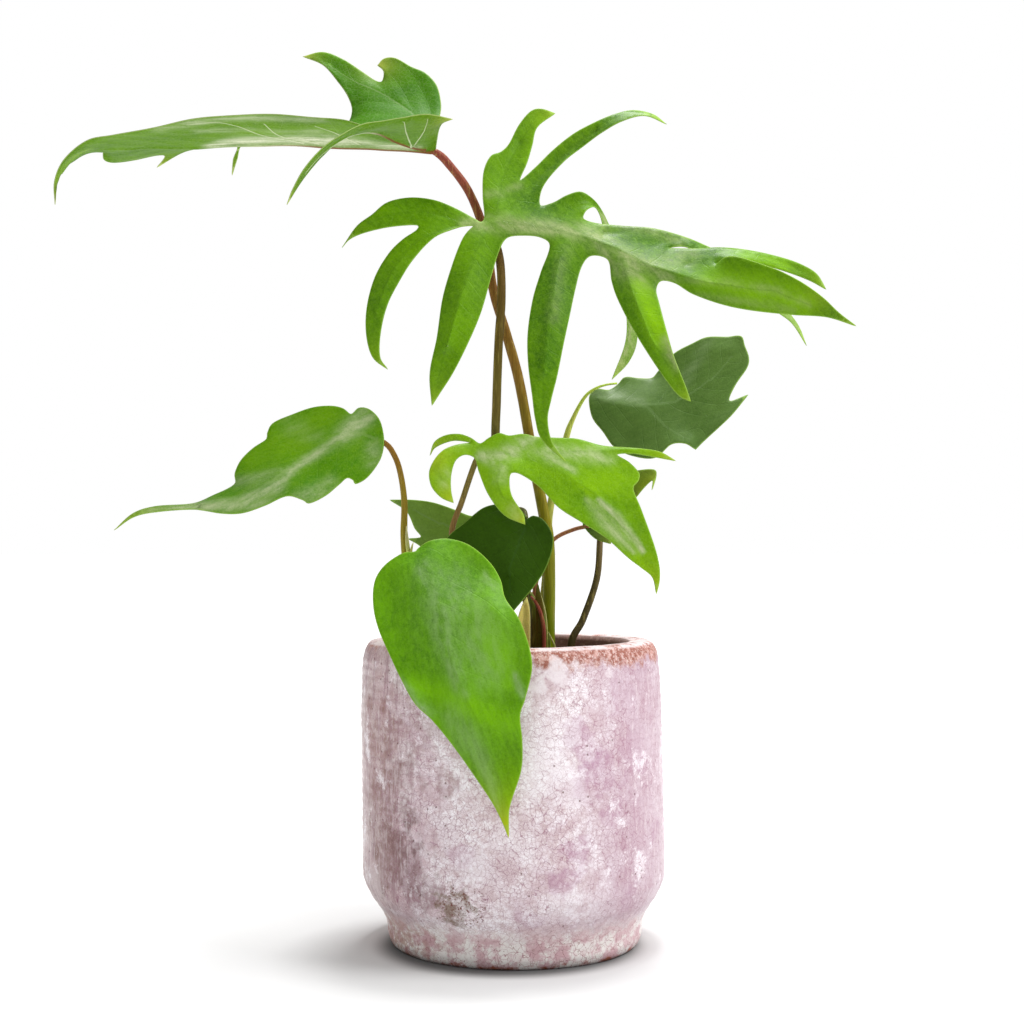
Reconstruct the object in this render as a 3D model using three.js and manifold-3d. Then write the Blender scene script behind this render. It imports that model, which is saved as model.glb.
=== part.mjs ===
// Potted oakleaf philodendron: a glazed pot of soil with ten leaves on their stalks, in millimetres, +Z up.
import * as THREE from 'three';
import { mergeVertices } from 'three/addons/utils/BufferGeometryUtils.js';
import Module from 'manifold-3d';

const wasm = await Module();
wasm.setup();

// Driving sizes
const potHeight = 150;
const potRadius = 75;
const potFloor = 9;
const mouthRadius = 57;
const soilLevel = 133;
const potLean = 2.5;
const bladeThickness = 0.8;
const gap = 0.3;
const stalkFoot = 104;

// How finely the surfaces are split
const potSides = 36;
const stalkSides = 8;
const stalkStep = 13;
const marginStep = 5;
const meshStep = 8;
const fillRounds = 300;

// The leaves are drawn on an upright sheet through the pot's axis, as seen from this point in front of it.
// A drawn point [across, height, depth] moves along its line of sight to its depth behind the sheet.
const eyeDistance = 850;
const eyeHeight = 203;

function place([across, height, depth]) {
  const spread = 1 + depth / eyeDistance;
  return new THREE.Vector3(across * spread, depth, eyeHeight + (height - eyeHeight) * spread);
}

// Margins: arcs that each run from one sharp tip to the next, anticlockwise as drawn. A point is
// [across, height], with a depth where it changes its trend, and its place in the flattened leaf where
// a lobe folds over. Ribs are the main veins, along which the blade is creased.

// Seen from below: flattened, it is measured along the rib and across it, away from the eye.
const topLeft = {
  color: 0x73a041,
  margin: [
    [[-229, 367.5, -4, 216, -4], [-229.3, 379, -8, 204, -10], [-224.5, 390, -14, 192, -17],
      [-213, 399.5, -20, 178, -24], [-200, 402.2, -25, 164, -30], [-180, 405.8, -32, 144, -38],
      [-160, 410.3, -40, 123, -47], [-140, 412, -46, 103, -53], [-120, 412.6, -48, 83, -54],
      [-100, 411, -44, 63, -50], [-86, 410, -40, 49, -46], [-78, 408, -37, 41, -42],
      [-72, 405.5, -36, 35, -40], [-76, 405.5, -40, 38, -45], [-80, 403.7, -44, 42, -51],
      [-85, 400.7, -48, 48, -58], [-95, 392, -56, 63, -71], [-105, 380, -64, 78, -86]],
    [[-113, 367.5, -74, 92, -108], [-110, 375.5, -75, 82, -102], [-104, 386, -74, 70, -94],
      [-95, 396, -70, 57, -85], [-85, 402.8, -66, 45, -77], [-75, 407.7, -60, 34, -68],
      [-65, 409.3, -56, 24, -62], [-55, 411, -52, 14, -56], [-43, 412.6, -47, 2, -49]],
    [[-30.3, 410.1, -38, -12, -37], [-35, 408.3, -29, -6, -28], [-37, 405, -20, -4, -20],
      [-38, 400, -9, -2, -9], [-38.5, 396.6, -1, 0, 0], [-38.2, 399, 6, -1, 8], [-37.4, 405, 17, 0, 25],
      [-36.7, 411.3, 30, 0, 42], [-36.1, 417.5, 38, 1, 52], [-38.3, 427, 46, 5, 64],
      [-44, 433.2, 50, 12, 72], [-51, 436.3, 52, 20, 76], [-59, 440.6, 54, 28, 82],
      [-64.5, 440.3, 55, 33, 82]],
    [[-67.7, 437, 54, 37.5, 79], [-64.6, 434, 51, 34.5, 73], [-65.5, 429, 50, 36, 67],
      [-68.5, 429.2, 50, 39, 67], [-75, 433.5, 52, 46, 73], [-85, 440, 54, 56, 81], [-95, 443.6, 54, 67, 86]],
    [[-105, 441.4, 52, 80, 86], [-95, 437.2, 50, 69, 76], [-88, 429.5, 47, 61, 66],
      [-82.5, 421.5, 42, 54, 56], [-80.4, 414, 37, 52, 47], [-84, 407, 34, 56, 39],
      [-98, 404, 36, 70, 39], [-112, 400, 30, 84, 33], [-125, 398.1, 26, 96, 28],
      [-136.3, 396.8, 32, 108, 36]],
    [[-140.5, 382, 42, 118, 58], [-142.5, 392, 36, 117, 45], [-146, 396.2, 28, 118, 32],
      [-155, 396, 27, 127, 29], [-165, 393.5, 30, 137, 34]],
    [[-178, 386, 36, 154, 44], [-174, 391.5, 30, 148, 34], [-178, 392, 26, 148, 26],
      [-190, 389.5, 27, 159, 28], [-200, 388.4, 24, 170, 24], [-204.5, 390, 20, 175, 19],
      [-206, 395.7, 13, 176, 12], [-218.5, 390.5, 7, 190, 6], [-227, 382.5, 2, 203, 1]],
  ],
  ribs: [
    [[-44, 394.6, -1, 6, 0], [-60, 396.3, -1, 22, 0], [-88, 397.6, -2, 50, 0], [-110, 398, -3, 72, 0],
      [-140, 397.6, -3, 102, -1], [-165, 397, -1, 128, -2], [-190, 396.5, -1, 154, -3],
      [-213, 393.8, -3, 178, -5], [-225, 380, -4, 202, -5]],
    [[-44, 403, -18, 6, -19], [-58, 405, -40, 18, -44], [-80, 402.5, -55, 40, -65],
      [-100, 388, -67, 68, -85]],
    [[-43, 403, 14, 6, 20], [-50, 420, 38, 14, 50], [-62, 431, 46, 27, 64], [-80, 436, 50, 50, 72]],
  ],
};

const topRight = {
  color: 0x6a9a35,
  margin: [
    [[-85.4, 346, -14], [-82, 349.8], [-76, 352.8], [-65, 355.7], [-55, 357, -9], [-47.5, 357, -9],
      [-48, 354.8], [-55, 350], [-62, 343], [-69, 331], [-73, 316, -22], [-73.2, 302], [-70, 291]],
    [[-62.6, 285, -34], [-66.5, 291], [-66.3, 303], [-63, 317, -24], [-57, 329], [-50, 340], [-40, 350.5],
      [-30, 355.3], [-20, 356.8, -9], [-22.5, 354], [-25.5, 349.5], [-30, 338, -16], [-35, 321],
      [-38, 301], [-41.5, 283, -27]],
    [[-40.5, 267, -33], [-37, 272.5], [-30, 283.5], [-22, 299.5, -26], [-16, 314], [-11, 331.5],
      [-7, 344.5], [-3, 350.8, -12], [5, 352], [14, 351], [18.5, 347, -14], [14, 333.5], [10, 320],
      [7.5, 303, -30], [7.7, 288], [9.7, 272], [11.3, 260], [14.5, 250]],
    [[26.5, 238.7, -46], [19.5, 248.5], [17.2, 260], [19, 270], [22, 282], [25, 297, -32], [28, 311],
      [31, 325], [34, 336], [38, 341.5, -17], [44, 341.7], [48, 339, -18], [49.5, 329], [53, 319],
      [62, 302, -34], [75, 282], [83, 272]],
    [[88.8, 269, -48], [86, 277], [80.5, 291], [77, 303, -38], [73, 318], [71.5, 325], [74, 329.3, -24],
      [81, 328.2], [90, 322.8], [105, 317.5, -34], [120, 314.5], [140, 312.4], [157, 311.2]],
    [[171.5, 306.7, -56], [163, 313.2], [155, 320.8], [145, 327], [135, 332, -42], [120, 337], [110, 338.6],
      [102, 337.2, -24], [108, 341], [120, 338.6], [135, 334.4], [148, 329.6]],
    [[156.5, 325, -28], [152, 332.5], [145, 337], [135, 340.7], [120, 344.2, -20], [105, 345.9],
      [90, 345.4], [78, 345.6, -13, 77, 346], [87, 346, -13, 90, 348.5], [104, 337, -16, 105, 351],
      [118, 325, -20, 120, 355], [131, 314.5, -24, 136, 359], [139.5, 308, -27, 144, 362]],
    [[146.7, 297, -32, 153, 367], [142, 308, -26, 144, 366], [132, 320, -20, 131, 363],
      [118, 333, -16, 117, 360], [106, 342, -12, 103, 357], [95, 347.5, -10, 94, 353],
      [85, 351.5, -8], [70, 355.5], [55, 356.7, -6], [42, 358], [35.2, 360.4, -6, 35, 360.4],
      [36.5, 364.4, -5, 37, 364], [40, 366, 0, 45, 366.5], [43.5, 362, 6, 56, 367.5],
      [46, 352, 8, 67, 368.5], [51, 335, 8, 84, 370], [56, 318, 8, 101, 372], [56.5, 300, 8, 118, 375]],
    [[49.5, 280, 6, 138, 382], [58, 289, 12, 126, 383], [62, 300, 18, 114, 383.5], [61, 320, 22, 94, 382],
      [56, 340, 22, 76, 380], [49.5, 357, 17, 61, 378.5], [46, 365, 10, 51, 377.5],
      [41, 370.5, 2, 42, 376], [34, 373.7, -2, 34, 374.5], [27, 372], [20, 368.3], [13.5, 367.2, -3],
      [15, 376.5], [25, 388.5], [35, 396.5, 8], [45, 403.8], [55, 409.3], [66, 411.8]],
    [[76.7, 407.6, 8], [70, 412.5], [60, 414.5, 14], [50, 412.3], [40, 408], [30, 402.5], [20, 394.5, 8],
      [11, 385.7], [3.5, 379.6, 3], [7, 388.5], [9.5, 397, 10], [12, 406]],
    [[21, 413, 16], [14, 415.2], [9, 414, 14], [3, 407], [-2, 397.5], [-6, 393.7, 7], [-11, 391.6],
      [-14.5, 384], [-15, 372], [-14.2, 361, -6], [-16, 358.6, -8], [-20, 360.7], [-30, 366], [-40, 369.7],
      [-52, 370.8, -2], [-63, 368.3], [-70.5, 362.3], [-78, 356.6]],
  ],
  ribs: [
    [[-11, 358, -9], [10, 357, -11], [30, 353, -14], [50, 347, -19], [70, 337, -26], [90, 330.5, -30],
      [110, 327, -37], [130, 322.5, -43], [152, 316, -50]],
    [[-26, 359.5, -8], [-45, 363.5, -5], [-62, 362, -8], [-76, 355.5, -13]],
    [[-28, 357, -9], [-48, 349, -14], [-60, 335, -21], [-68.5, 314, -26], [-69.8, 298, -31]],
    [[-14, 354, -10], [-19, 342, -17], [-26, 322, -26], [-33, 298, -31], [-38, 280, -33]],
    [[28, 350, -16], [23, 340, -22], [19.5, 322, -29], [17, 304, -34], [15.5, 286, -38], [14.5, 264, -42]],
    [[54, 341, -22], [60, 323, -31], [68, 303, -38], [77, 286, -44]],
    [[86, 338, -22], [105, 342, -23], [125, 339.5, -25], [143, 333, -27]],
    [[45, 353.5, -9], [62, 353, -10], [78, 350, -12]],
    [[22, 361, -8], [30, 367, -5]],
    [[-2, 364, -6], [6, 374, -1], [20, 387, 6], [36, 401, 10], [56, 411.4, 14]],
    [[-8, 366, -5], [-5, 380, 2], [1, 394, 9], [9, 407, 15]],
  ],
};

const left = {
  color: 0x64892f,
  margin: [
    [[-199.3, 204.7, -44], [-190, 211], [-180, 213.5], [-160, 215, -38], [-145, 213], [-135, 213.3],
      [-124, 217, -34], [-113, 221.7], [-105, 219.7], [-102, 218.1, -32], [-94, 221.8], [-87, 227.5],
      [-83, 230.8, -22], [-79.8, 229.6], [-78.8, 227.8, -22], [-73, 231], [-67, 239], [-64.9, 245.5],
      [-64.8, 252, -11], [-67, 260], [-72, 265], [-77, 265.7, -8], [-81, 262.6, -10], [-85, 265.4],
      [-91, 266.7, -8], [-100, 265.9], [-110, 262.5], [-120, 258], [-122.8, 253, -16], [-123.2, 250.2],
      [-130, 245.5], [-136, 239.5], [-139, 233], [-139.3, 227.6, -26], [-150, 222], [-160, 218],
      [-179, 216.5, -36], [-190, 213]],
  ],
  ribs: [
    [[-68, 250.5, -13], [-76, 252.5, -15], [-85, 251, -18], [-95, 246.5, -22], [-108, 238.5, -27],
      [-122, 228, -32], [-138, 219.5, -36], [-160, 216.5, -41], [-182, 215, -44]],
  ],
};

const front = {
  color: 0x659a30,
  margin: [
    [[-2.2, 51, -90], [-2.2, 63], [-1, 69], [4, 85, -86], [4.5, 99], [3.4, 112], [6, 120.5], [9.3, 135, -85],
      [8, 146], [3, 160, -75], [-4, 170.5], [-6.5, 180, -58], [-12, 188.7], [-22, 197], [-33, 200.3, -44],
      [-42, 199], [-47.2, 195.6, -47], [-49, 193.8, -49], [-55, 193], [-64, 187], [-69, 179, -50],
      [-69.7, 167], [-67, 155, -58], [-60.5, 140], [-56, 130.5, -68], [-49, 118], [-40, 109.3, -78],
      [-30, 97], [-20, 83, -84], [-10, 68], [-5, 58]],
  ],
  ribs: [
    [[-45.5, 191, -51], [-42, 186, -53], [-38, 178, -58], [-34, 168, -66], [-28, 150, -79],
      [-24, 138, -84], [-16, 108, -88], [-8, 80, -90], [-4, 62, -91]],
  ],
};

const middle = {
  color: 0x69a01c,
  margin: [
    [[-41, 242, -12], [-38, 246.5], [-33, 248.8], [-27, 248.5], [-21, 246.3, -16], [-24, 244],
      [-29, 247, -20, -29, 244.6], [-36, 247, -22, -36, 244.8], [-40, 243, -23], [-41.8, 235], [-39.5, 227],
      [-34.5, 220]],
    [[-29.8, 218.3, -26], [-31.3, 232], [-29, 240], [-24, 242.6, -20], [-19, 240.4, -19], [-17, 234],
      [-12, 222], [-4, 212]],
    [[6, 207.5, -38], [5, 212.5], [-1, 222.5], [-1.5, 232.4, -30], [3, 233], [13, 226.5], [23, 216, -38],
      [35, 208.3], [47, 200.5], [58, 191, -44], [68, 183]],
    [[71.5, 172.8, -50], [73, 184], [70.5, 197], [64, 215, -44], [60, 225.5], [62.5, 229.3], [63, 233],
      [58, 238.5, -34], [52, 242.4, -32], [60, 243], [72, 241]],
    [[81.3, 239.3, -38], [73, 243.8], [60, 245.7], [45, 246.8, -28], [32, 250.2], [22, 250.7],
      [12, 251.2, -22], [5, 252.6], [-2, 251.8], [-7, 253], [-12, 250.7], [-15.5, 247.5, -17],
      [-21, 249.6], [-31, 252.4], [-38, 250.5]],
  ],
  ribs: [
    [[-14, 243.6, -20], [-4, 243.2, -24], [8, 240.5, -28], [20, 236, -33], [32, 229, -38], [42, 222, -41],
      [52, 212, -44], [60, 200, -47], [68, 186, -49]],
    [[-6, 238, -27], [-7.5, 228, -32], [-3, 217, -36]],
    [[20, 243, -29], [40, 244, -31], [56, 244.4, -33], [72, 242.4, -36]],
    [[-28, 242.5, -22], [-36, 239, -25], [-36.5, 229, -26]],
  ],
};

const shade = {
  color: 0x2f4c1a,
  margin: [
    [[0, 164, -52], [10, 176], [16, 185], [19.5, 195, -38], [19.5, 202.5], [15, 209.8, -27], [10, 211.7],
      [7.2, 210.6, -24], [4, 214.5], [-3, 217.5, -20], [-14, 216], [-24, 208.3], [-32.5, 201, -27],
      [-36, 192], [-33, 182, -38], [-22, 172], [-10, 165.5]],
  ],
  ribs: [
    [[6, 206, -27], [3, 198, -33], [-1, 186, -42], [-2, 174, -49]],
  ],
};

const backLeft = {
  color: 0x3f5c34,
  margin: [
    [[-61.5, 219.7, 34], [-53, 213.8], [-49, 205.5], [-46, 201.2, 30]],
    [[-52.5, 200.3, 30], [-47, 197.2], [-42, 192, 28], [-32, 182, 24], [-20, 177], [-9, 181, 14], [-3, 191],
      [-5, 200, 16], [-11, 203.2, 19], [-10, 207], [-15, 211, 22], [-22, 211.8], [-30, 215], [-40, 218.3, 28],
      [-50, 219.6]],
  ],
  ribs: [
    [[-14, 203, 19], [-24, 204, 22], [-36, 208, 26], [-50, 214.5, 31]],
  ],
};

const right = {
  color: 0x4c6b3c,
  margin: [
    [[91.3, 245, 26], [95, 248.8], [105, 258, 28], [110, 263]],
    [[117.5, 272.3, 34], [108.2, 269.3, 34], [111, 277], [117, 286, 38], [117.8, 291], [115.7, 297],
      [114, 301.5], [107, 301.2, 44], [97, 301], [90, 298], [80.5, 292.8], [73, 284.5, 44], [69.5, 280.7],
      [63, 280.5], [56, 281], [52.5, 277.5, 40], [48, 274.7], [42, 275.2], [38.7, 272.5], [38.2, 268, 31],
      [40, 260.5], [45, 254], [51, 246, 25], [60, 241.8], [71, 240.9, 22], [79, 247.5], [86, 248]],
  ],
  ribs: [
    [[42, 270.5, 30], [52, 268, 29], [66, 267, 29], [82, 270.5, 31], [98, 279.5, 35], [110, 291, 39]],
    [[66, 267, 29], [76, 258, 26], [88, 249.5, 25]],
  ],
};

const small = {
  color: 0x35531f,
  margin: [
    [[69.5, 224.7, -14], [71.6, 232], [70.5, 234.8], [62, 234.3, -6], [53, 232], [46, 226], [43.5, 219, 2],
      [46, 214.5], [50, 212, 0], [56, 214], [61, 220.4, -6], [66, 226.4], [69.8, 229.5]],
  ],
  ribs: [
    [[48.5, 218, 0], [56, 223.5, -4], [64, 229.5, -8]],
  ],
};

const low = {
  color: 0x2c471b,
  margin: [
    [[48.8, 197.8, 0], [49.5, 203], [45, 208.5, 5], [38.5, 210], [35, 208, 9], [36.6, 205], [41.5, 200.3]],
  ],
  ribs: [
    [[37.5, 206.8, 8], [42, 204, 5], [46, 200.6, 2]],
  ],
};

const blades = {
  blade_top_left: topLeft,
  blade_top_right: topRight,
  blade_left: left,
  blade_front: front,
  blade_middle: middle,
  blade_shade: shade,
  blade_back_left: backLeft,
  blade_right: right,
  blade_small: small,
  blade_low: low,
};

// Stalks from the soil up to their blade: [across, height, depth, width], drawn on the same sheet.
const stalks = {
  petiole_top_left: {
    color: 0x7d6a30,
    blade: 'blade_top_left',
    line: [[17.8, stalkFoot, 12, 6], [17.8, 150, 11, 6.2], [18, 180, 10, 6.2], [17.5, 200, 9, 6],
      [14.5, 217, 8, 5.6], [10, 240, 8, 5.2], [3, 279, 8, 5], [-3.5, 303, 8, 4.8], [-10, 325, 8, 4.6],
      [-14, 352, 8, 4.4], [-22, 373.5, 7, 4.2], [-33, 388.5, 3, 3.8], [-41.5, 395.6, -1, 3.4]],
  },
  petiole_top_right: {
    color: 0x5a4b2c,
    blade: 'blade_top_right',
    line: [[8, stalkFoot, -4, 4.6], [8, 150, -4, 4.6], [6, 180, -2, 4.6], [2, 200, 1, 4.6],
      [-4, 222, 0, 4.5], [-8.5, 245, -5, 4.4], [-8.2, 270, -8, 4.4], [-7.2, 298, -8, 4.4],
      [-5.8, 322, -7, 4.3], [-7, 342, -6, 4.2], [-13, 358.5, -9, 3.6]],
  },
  petiole_left: {
    color: 0x968c46,
    blade: 'blade_left',
    line: [[-41, stalkFoot, -6, 4], [-45, 150, -8, 4], [-52, 178, -9, 4], [-54.4, 200, -9, 3.6],
      [-54.4, 220, -9, 3.1], [-57, 236, -9, 2.9], [-61, 245, -10, 2.7], [-67.5, 250.3, -11, 2.7]],
  },
  petiole_front: {
    color: 0x7d7a34,
    blade: 'blade_front',
    line: [[-26, stalkFoot, -31, 3.6], [-30, 150, -36, 3.6], [-38, 178, -44, 3.4], [-46, 192.5, -50, 3]],
  },
  petiole_middle: {
    color: 0x8c6e3c,
    blade: 'blade_middle',
    line: [[-14, stalkFoot, -12, 3.4], [-17, 150, -12, 3.4], [-25, 185, -13, 3.2], [-30.5, 203, -14, 3],
      [-25.5, 219, -15, 2.9], [-18.5, 239, -17, 2.9], [-16, 243.6, -19.5, 2.9]],
  },
  petiole_shade: {
    color: 0x6a4a2c,
    blade: 'blade_shade',
    line: [[-5, stalkFoot, -24, 2.8], [-6, 150, -22, 2.8], [-8, 180, -15, 2.6], [-5, 203, -9, 2.4],
      [1, 214, -10, 2.3], [5.5, 214.4, -17, 2.2], [6.6, 209.5, -24, 2.2]],
  },
  petiole_back_left: {
    color: 0x5f6a35,
    blade: 'blade_back_left',
    line: [[-4, stalkFoot, 26, 3], [-5, 150, 28, 3], [-7, 185, 29, 2.8], [-13, 203.5, 20, 2.6]],
  },
  petiole_right: {
    color: 0xb4be4c,
    blade: 'blade_right',
    line: [[13, stalkFoot, 30, 4], [14, 150, 30, 4], [17, 190, 29, 3.8], [18.6, 216, 28, 3.6],
      [26.5, 250.5, 29, 3.5], [31, 262, 31, 2.6], [38.5, 270.8, 32, 2]],
  },
  petiole_small: {
    color: 0x4a3d20,
    blade: 'blade_small',
    line: [[27, stalkFoot, 2, 3.6], [29, 147, 4, 3.6], [35, 160, 8, 3.5], [42, 181, 13, 3.3],
      [43.8, 203, 14, 3.1], [46, 212, 9, 2.8], [49, 219, 0, 2.6]],
  },
  petiole_low: {
    color: 0xaa694b,
    blade: 'blade_low',
    line: [[7, stalkFoot, 20, 2.4], [8, 150, 20, 2.4], [14, 190, 20, 2.2], [20.5, 200, 18, 2],
      [30, 204.8, 14, 2], [38.5, 206.8, 6.5, 1.8]],
  },
  stub: {
    color: 0x8aa23c,
    line: [[13, stalkFoot, -19, 8], [12.4, 150, -19, 7.6], [11.6, 163, -18, 6], [9.6, 170, -17, 3.6],
      [8.6, 173.5, -17, 1.8]],
  },
};

// Thin leftovers at the foot of the stub: a dry sheath and a green flap.
const scraps = {
  sheath: {
    color: 0xd8d6a0,
    margin: [
      [[6.5, 171, -26], [4.6, 166], [3.4, 158, -27], [3.4, 130, -27], [3.6, stalkFoot, -27],
        [6.5, stalkFoot, -27], [7.4, 130, -27], [7.6, 158, -27], [7.4, 166]],
    ],
    ribs: [],
  },
  flap: {
    color: 0x7fae4a,
    margin: [
      [[12.4, 178, -25], [11.4, 172], [11.4, 158, -25], [11.2, 130, -26], [11.2, stalkFoot, -26],
        [15.2, stalkFoot, -26], [15.2, 130, -26], [15.6, 158, -25], [15, 167], [13.6, 173]],
    ],
    ribs: [],
  },
};

// Adds what a line's points leave out: a depth in proportion to the way along, and the drawn place.
function completed(points) {
  const way = [0];
  for (let i = 1; i < points.length; i++) {
    const [from, to] = [points[i - 1], points[i]];
    way.push(way[i - 1] + Math.hypot(to[0] - from[0], to[1] - from[1]));
  }
  const known = [...points.keys()].filter((i) => points[i][2] !== undefined);
  return points.map(([across, height, depth, u = across, v = height], i) => {
    if (depth !== undefined) return [across, height, depth, u, v];
    const before = known.findLast((k) => k < i);
    const after = known.find((k) => k > i);
    const share = (way[i] - way[before]) / (way[after] - way[before]);
    return [across, height, THREE.MathUtils.lerp(points[before][2], points[after][2], share), u, v];
  });
}

// A smooth line through points of any number of values, in steps of about the given length.
function smoothLine(points, step) {
  const apart = (p, q) => Math.hypot(q[0] - p[0], q[1] - p[1], q[2] - p[2]);
  const knot = [0];
  for (let i = 1; i < points.length; i++) knot.push(knot[i - 1] + Math.sqrt(apart(points[i - 1], points[i])));
  const slope = points.map((point, i) => {
    const before = Math.max(i - 1, 0);
    const after = Math.min(i + 1, points.length - 1);
    return point.map((value, k) => (points[after][k] - points[before][k]) / (knot[after] - knot[before]));
  });
  const line = [];
  for (let i = 1; i < points.length; i++) {
    const span = knot[i] - knot[i - 1];
    const pieces = Math.max(1, Math.round(apart(points[i - 1], points[i]) / step));
    for (let piece = 0; piece < pieces; piece++) {
      const t = piece / pieces;
      line.push(points[i].map((value, k) => {
        const start = points[i - 1][k];
        const rise = span * slope[i - 1][k] * t * (1 - t) ** 2 - span * slope[i][k] * t * t * (1 - t);
        return start + (value - start) * t * t * (3 - 2 * t) + rise;
      }));
    }
  }
  return [...line, points.at(-1)];
}

// The closed margin of a blade, from its arcs.
function marginLine(arcs, step) {
  return arcs.flatMap((arc, i) => {
    const nextTip = arcs[(i + 1) % arcs.length][0];
    return smoothLine(completed([...arc, nextTip]), step).slice(0, -1);
  });
}

function turn(p, q, r) {
  return (q[0] - p[0]) * (r[1] - p[1]) - (q[1] - p[1]) * (r[0] - p[0]);
}

function isInside(point, outline) {
  let inside = false;
  outline.forEach((p, i) => {
    const q = outline[(i + 1) % outline.length];
    const crosses = p[1] > point[1] !== q[1] > point[1];
    if (crosses && point[0] < p[0] + ((q[0] - p[0]) * (point[1] - p[1])) / (q[1] - p[1])) inside = !inside;
  });
  return inside;
}

// Splits a flat outline into triangles through the inner points: ears first, then each inner point splits
// the triangle around it, and shared edges are swapped until the triangles are as even as they can be.
function flatTriangles(outline, inner) {
  const flat = [...outline, ...inner];
  const shape = outline.map(([u, v]) => new THREE.Vector2(u, v));
  let triangles = THREE.ShapeUtils.triangulateShape(shape, []).map(([i, j, k]) =>
    turn(flat[i], flat[j], flat[k]) > 0 ? [i, j, k] : [i, k, j]);
  inner.forEach((point, n) => {
    const at = outline.length + n;
    const isLeft = (i, j) => turn(flat[i], flat[j], point) > 0;
    const around = triangles.findIndex(([i, j, k]) => isLeft(i, j) && isLeft(j, k) && isLeft(k, i));
    if (around < 0) return;
    const [i, j, k] = triangles[around];
    triangles.splice(around, 1, [i, j, at], [j, k, at], [k, i, at]);
    triangles = evened(triangles, flat);
  });
  return evened(triangles, flat);
}

function opposite(triangle, i, j) {
  return triangle.find((corner) => corner !== i && corner !== j);
}

function angleAt(p, q, r) {
  const lengths = Math.hypot(q[0] - p[0], q[1] - p[1]) * Math.hypot(r[0] - p[0], r[1] - p[1]);
  const along = (q[0] - p[0]) * (r[0] - p[0]) + (q[1] - p[1]) * (r[1] - p[1]);
  return Math.acos(THREE.MathUtils.clamp(along / lengths, -1, 1));
}

// Swaps each edge whose two facing angles add up to more than half a turn.
function evened(triangles, flat) {
  const owner = new Map();
  const key = (i, j) => `${i},${j}`;
  const claim = (triangle) => triangle.forEach((i, n) => owner.set(key(i, triangle[(n + 1) % 3]), triangle));
  triangles.forEach(claim);
  const waiting = [...owner.keys()];
  while (waiting.length) {
    const edge = waiting.pop();
    const [i, j] = edge.split(',').map(Number);
    const near = owner.get(key(i, j));
    const far = owner.get(key(j, i));
    if (!near || !far) continue;
    const k = opposite(near, i, j);
    const l = opposite(far, i, j);
    const facing = angleAt(flat[k], flat[i], flat[j]) + angleAt(flat[l], flat[i], flat[j]);
    if (facing < Math.PI + 1e-6) continue;
    if (turn(flat[k], flat[i], flat[l]) <= 0 || turn(flat[l], flat[j], flat[k]) <= 0) continue;
    owner.delete(key(i, j));
    owner.delete(key(j, i));
    near.splice(0, 3, k, i, l);
    far.splice(0, 3, l, j, k);
    claim(near);
    claim(far);
    waiting.push(key(i, l), key(l, j), key(j, k), key(k, i));
  }
  return triangles;
}

// Points between the margin and the ribs, on a triangular grid of the given spacing.
function gridInside(outline, ribs, step) {
  const us = outline.map((point) => point[0]);
  const vs = outline.map((point) => point[1]);
  const points = [];
  const rowHeight = step * Math.sin(Math.PI / 3);
  for (let row = 0, v = Math.min(...vs) + rowHeight / 2; v < Math.max(...vs); v += rowHeight, row++) {
    for (let u = Math.min(...us) + (row % 2 ? step / 2 : 0); u < Math.max(...us); u += step) {
      const clear = (reach) => ([x, y]) => Math.hypot(x - u, y - v) > reach * step;
      if (!isInside([u, v], outline)) continue;
      if (outline.every(clear(0.5)) && ribs.every(clear(0.6))) points.push([u, v]);
    }
  }
  return points;
}

// A thin sheet stretched like a soap film between its margin and its ribs, then given its thickness.
// It is grown on every side where it serves to cut a neighbour clear.
function bladeGeometry({ margin, ribs }, grown) {
  const border = marginLine(margin, marginStep);
  const hand = Math.sign(THREE.ShapeUtils.area(border.map(([, , , u, v]) => new THREE.Vector2(u, v))));
  const outline = border.map(([, , , u, v]) => [hand * u, v]);
  const nearMargin = ([u, v]) => outline.some(([x, y]) => Math.hypot(x - u, y - v) < 0.25 * marginStep);
  const ribPoints = ribs.flatMap((rib) => smoothLine(completed(rib), meshStep))
    .filter(([, , , u, v]) => isInside([hand * u, v], outline) && !nearMargin([hand * u, v]));
  const ribFlat = ribPoints.map(([, , , u, v]) => [hand * u, v]);
  const grid = gridInside(outline, ribFlat, meshStep);
  const triangles = flatTriangles(outline, [...ribFlat, ...grid]);
  const sheet = [...border, ...ribPoints].map(place);
  const held = sheet.length;
  const centre = sheet.reduce((sum, point) => sum.add(point), new THREE.Vector3()).divideScalar(held);
  grid.forEach(() => sheet.push(centre.clone()));
  const beside = sheet.map(() => new Set());
  for (const [i, j, k] of triangles) {
    [[i, j], [j, k], [k, i]].forEach(([from, to]) => beside[from].add(to) && beside[to].add(from));
  }
  for (let round = 0; round < fillRounds; round++) {
    for (let i = held; i < sheet.length; i++) {
      sheet[i].set(0, 0, 0);
      beside[i].forEach((j) => sheet[i].addScaledVector(sheet[j], 1 / beside[i].size));
    }
  }
  return thickened(sheet, triangles, border.length, grown);
}

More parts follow.
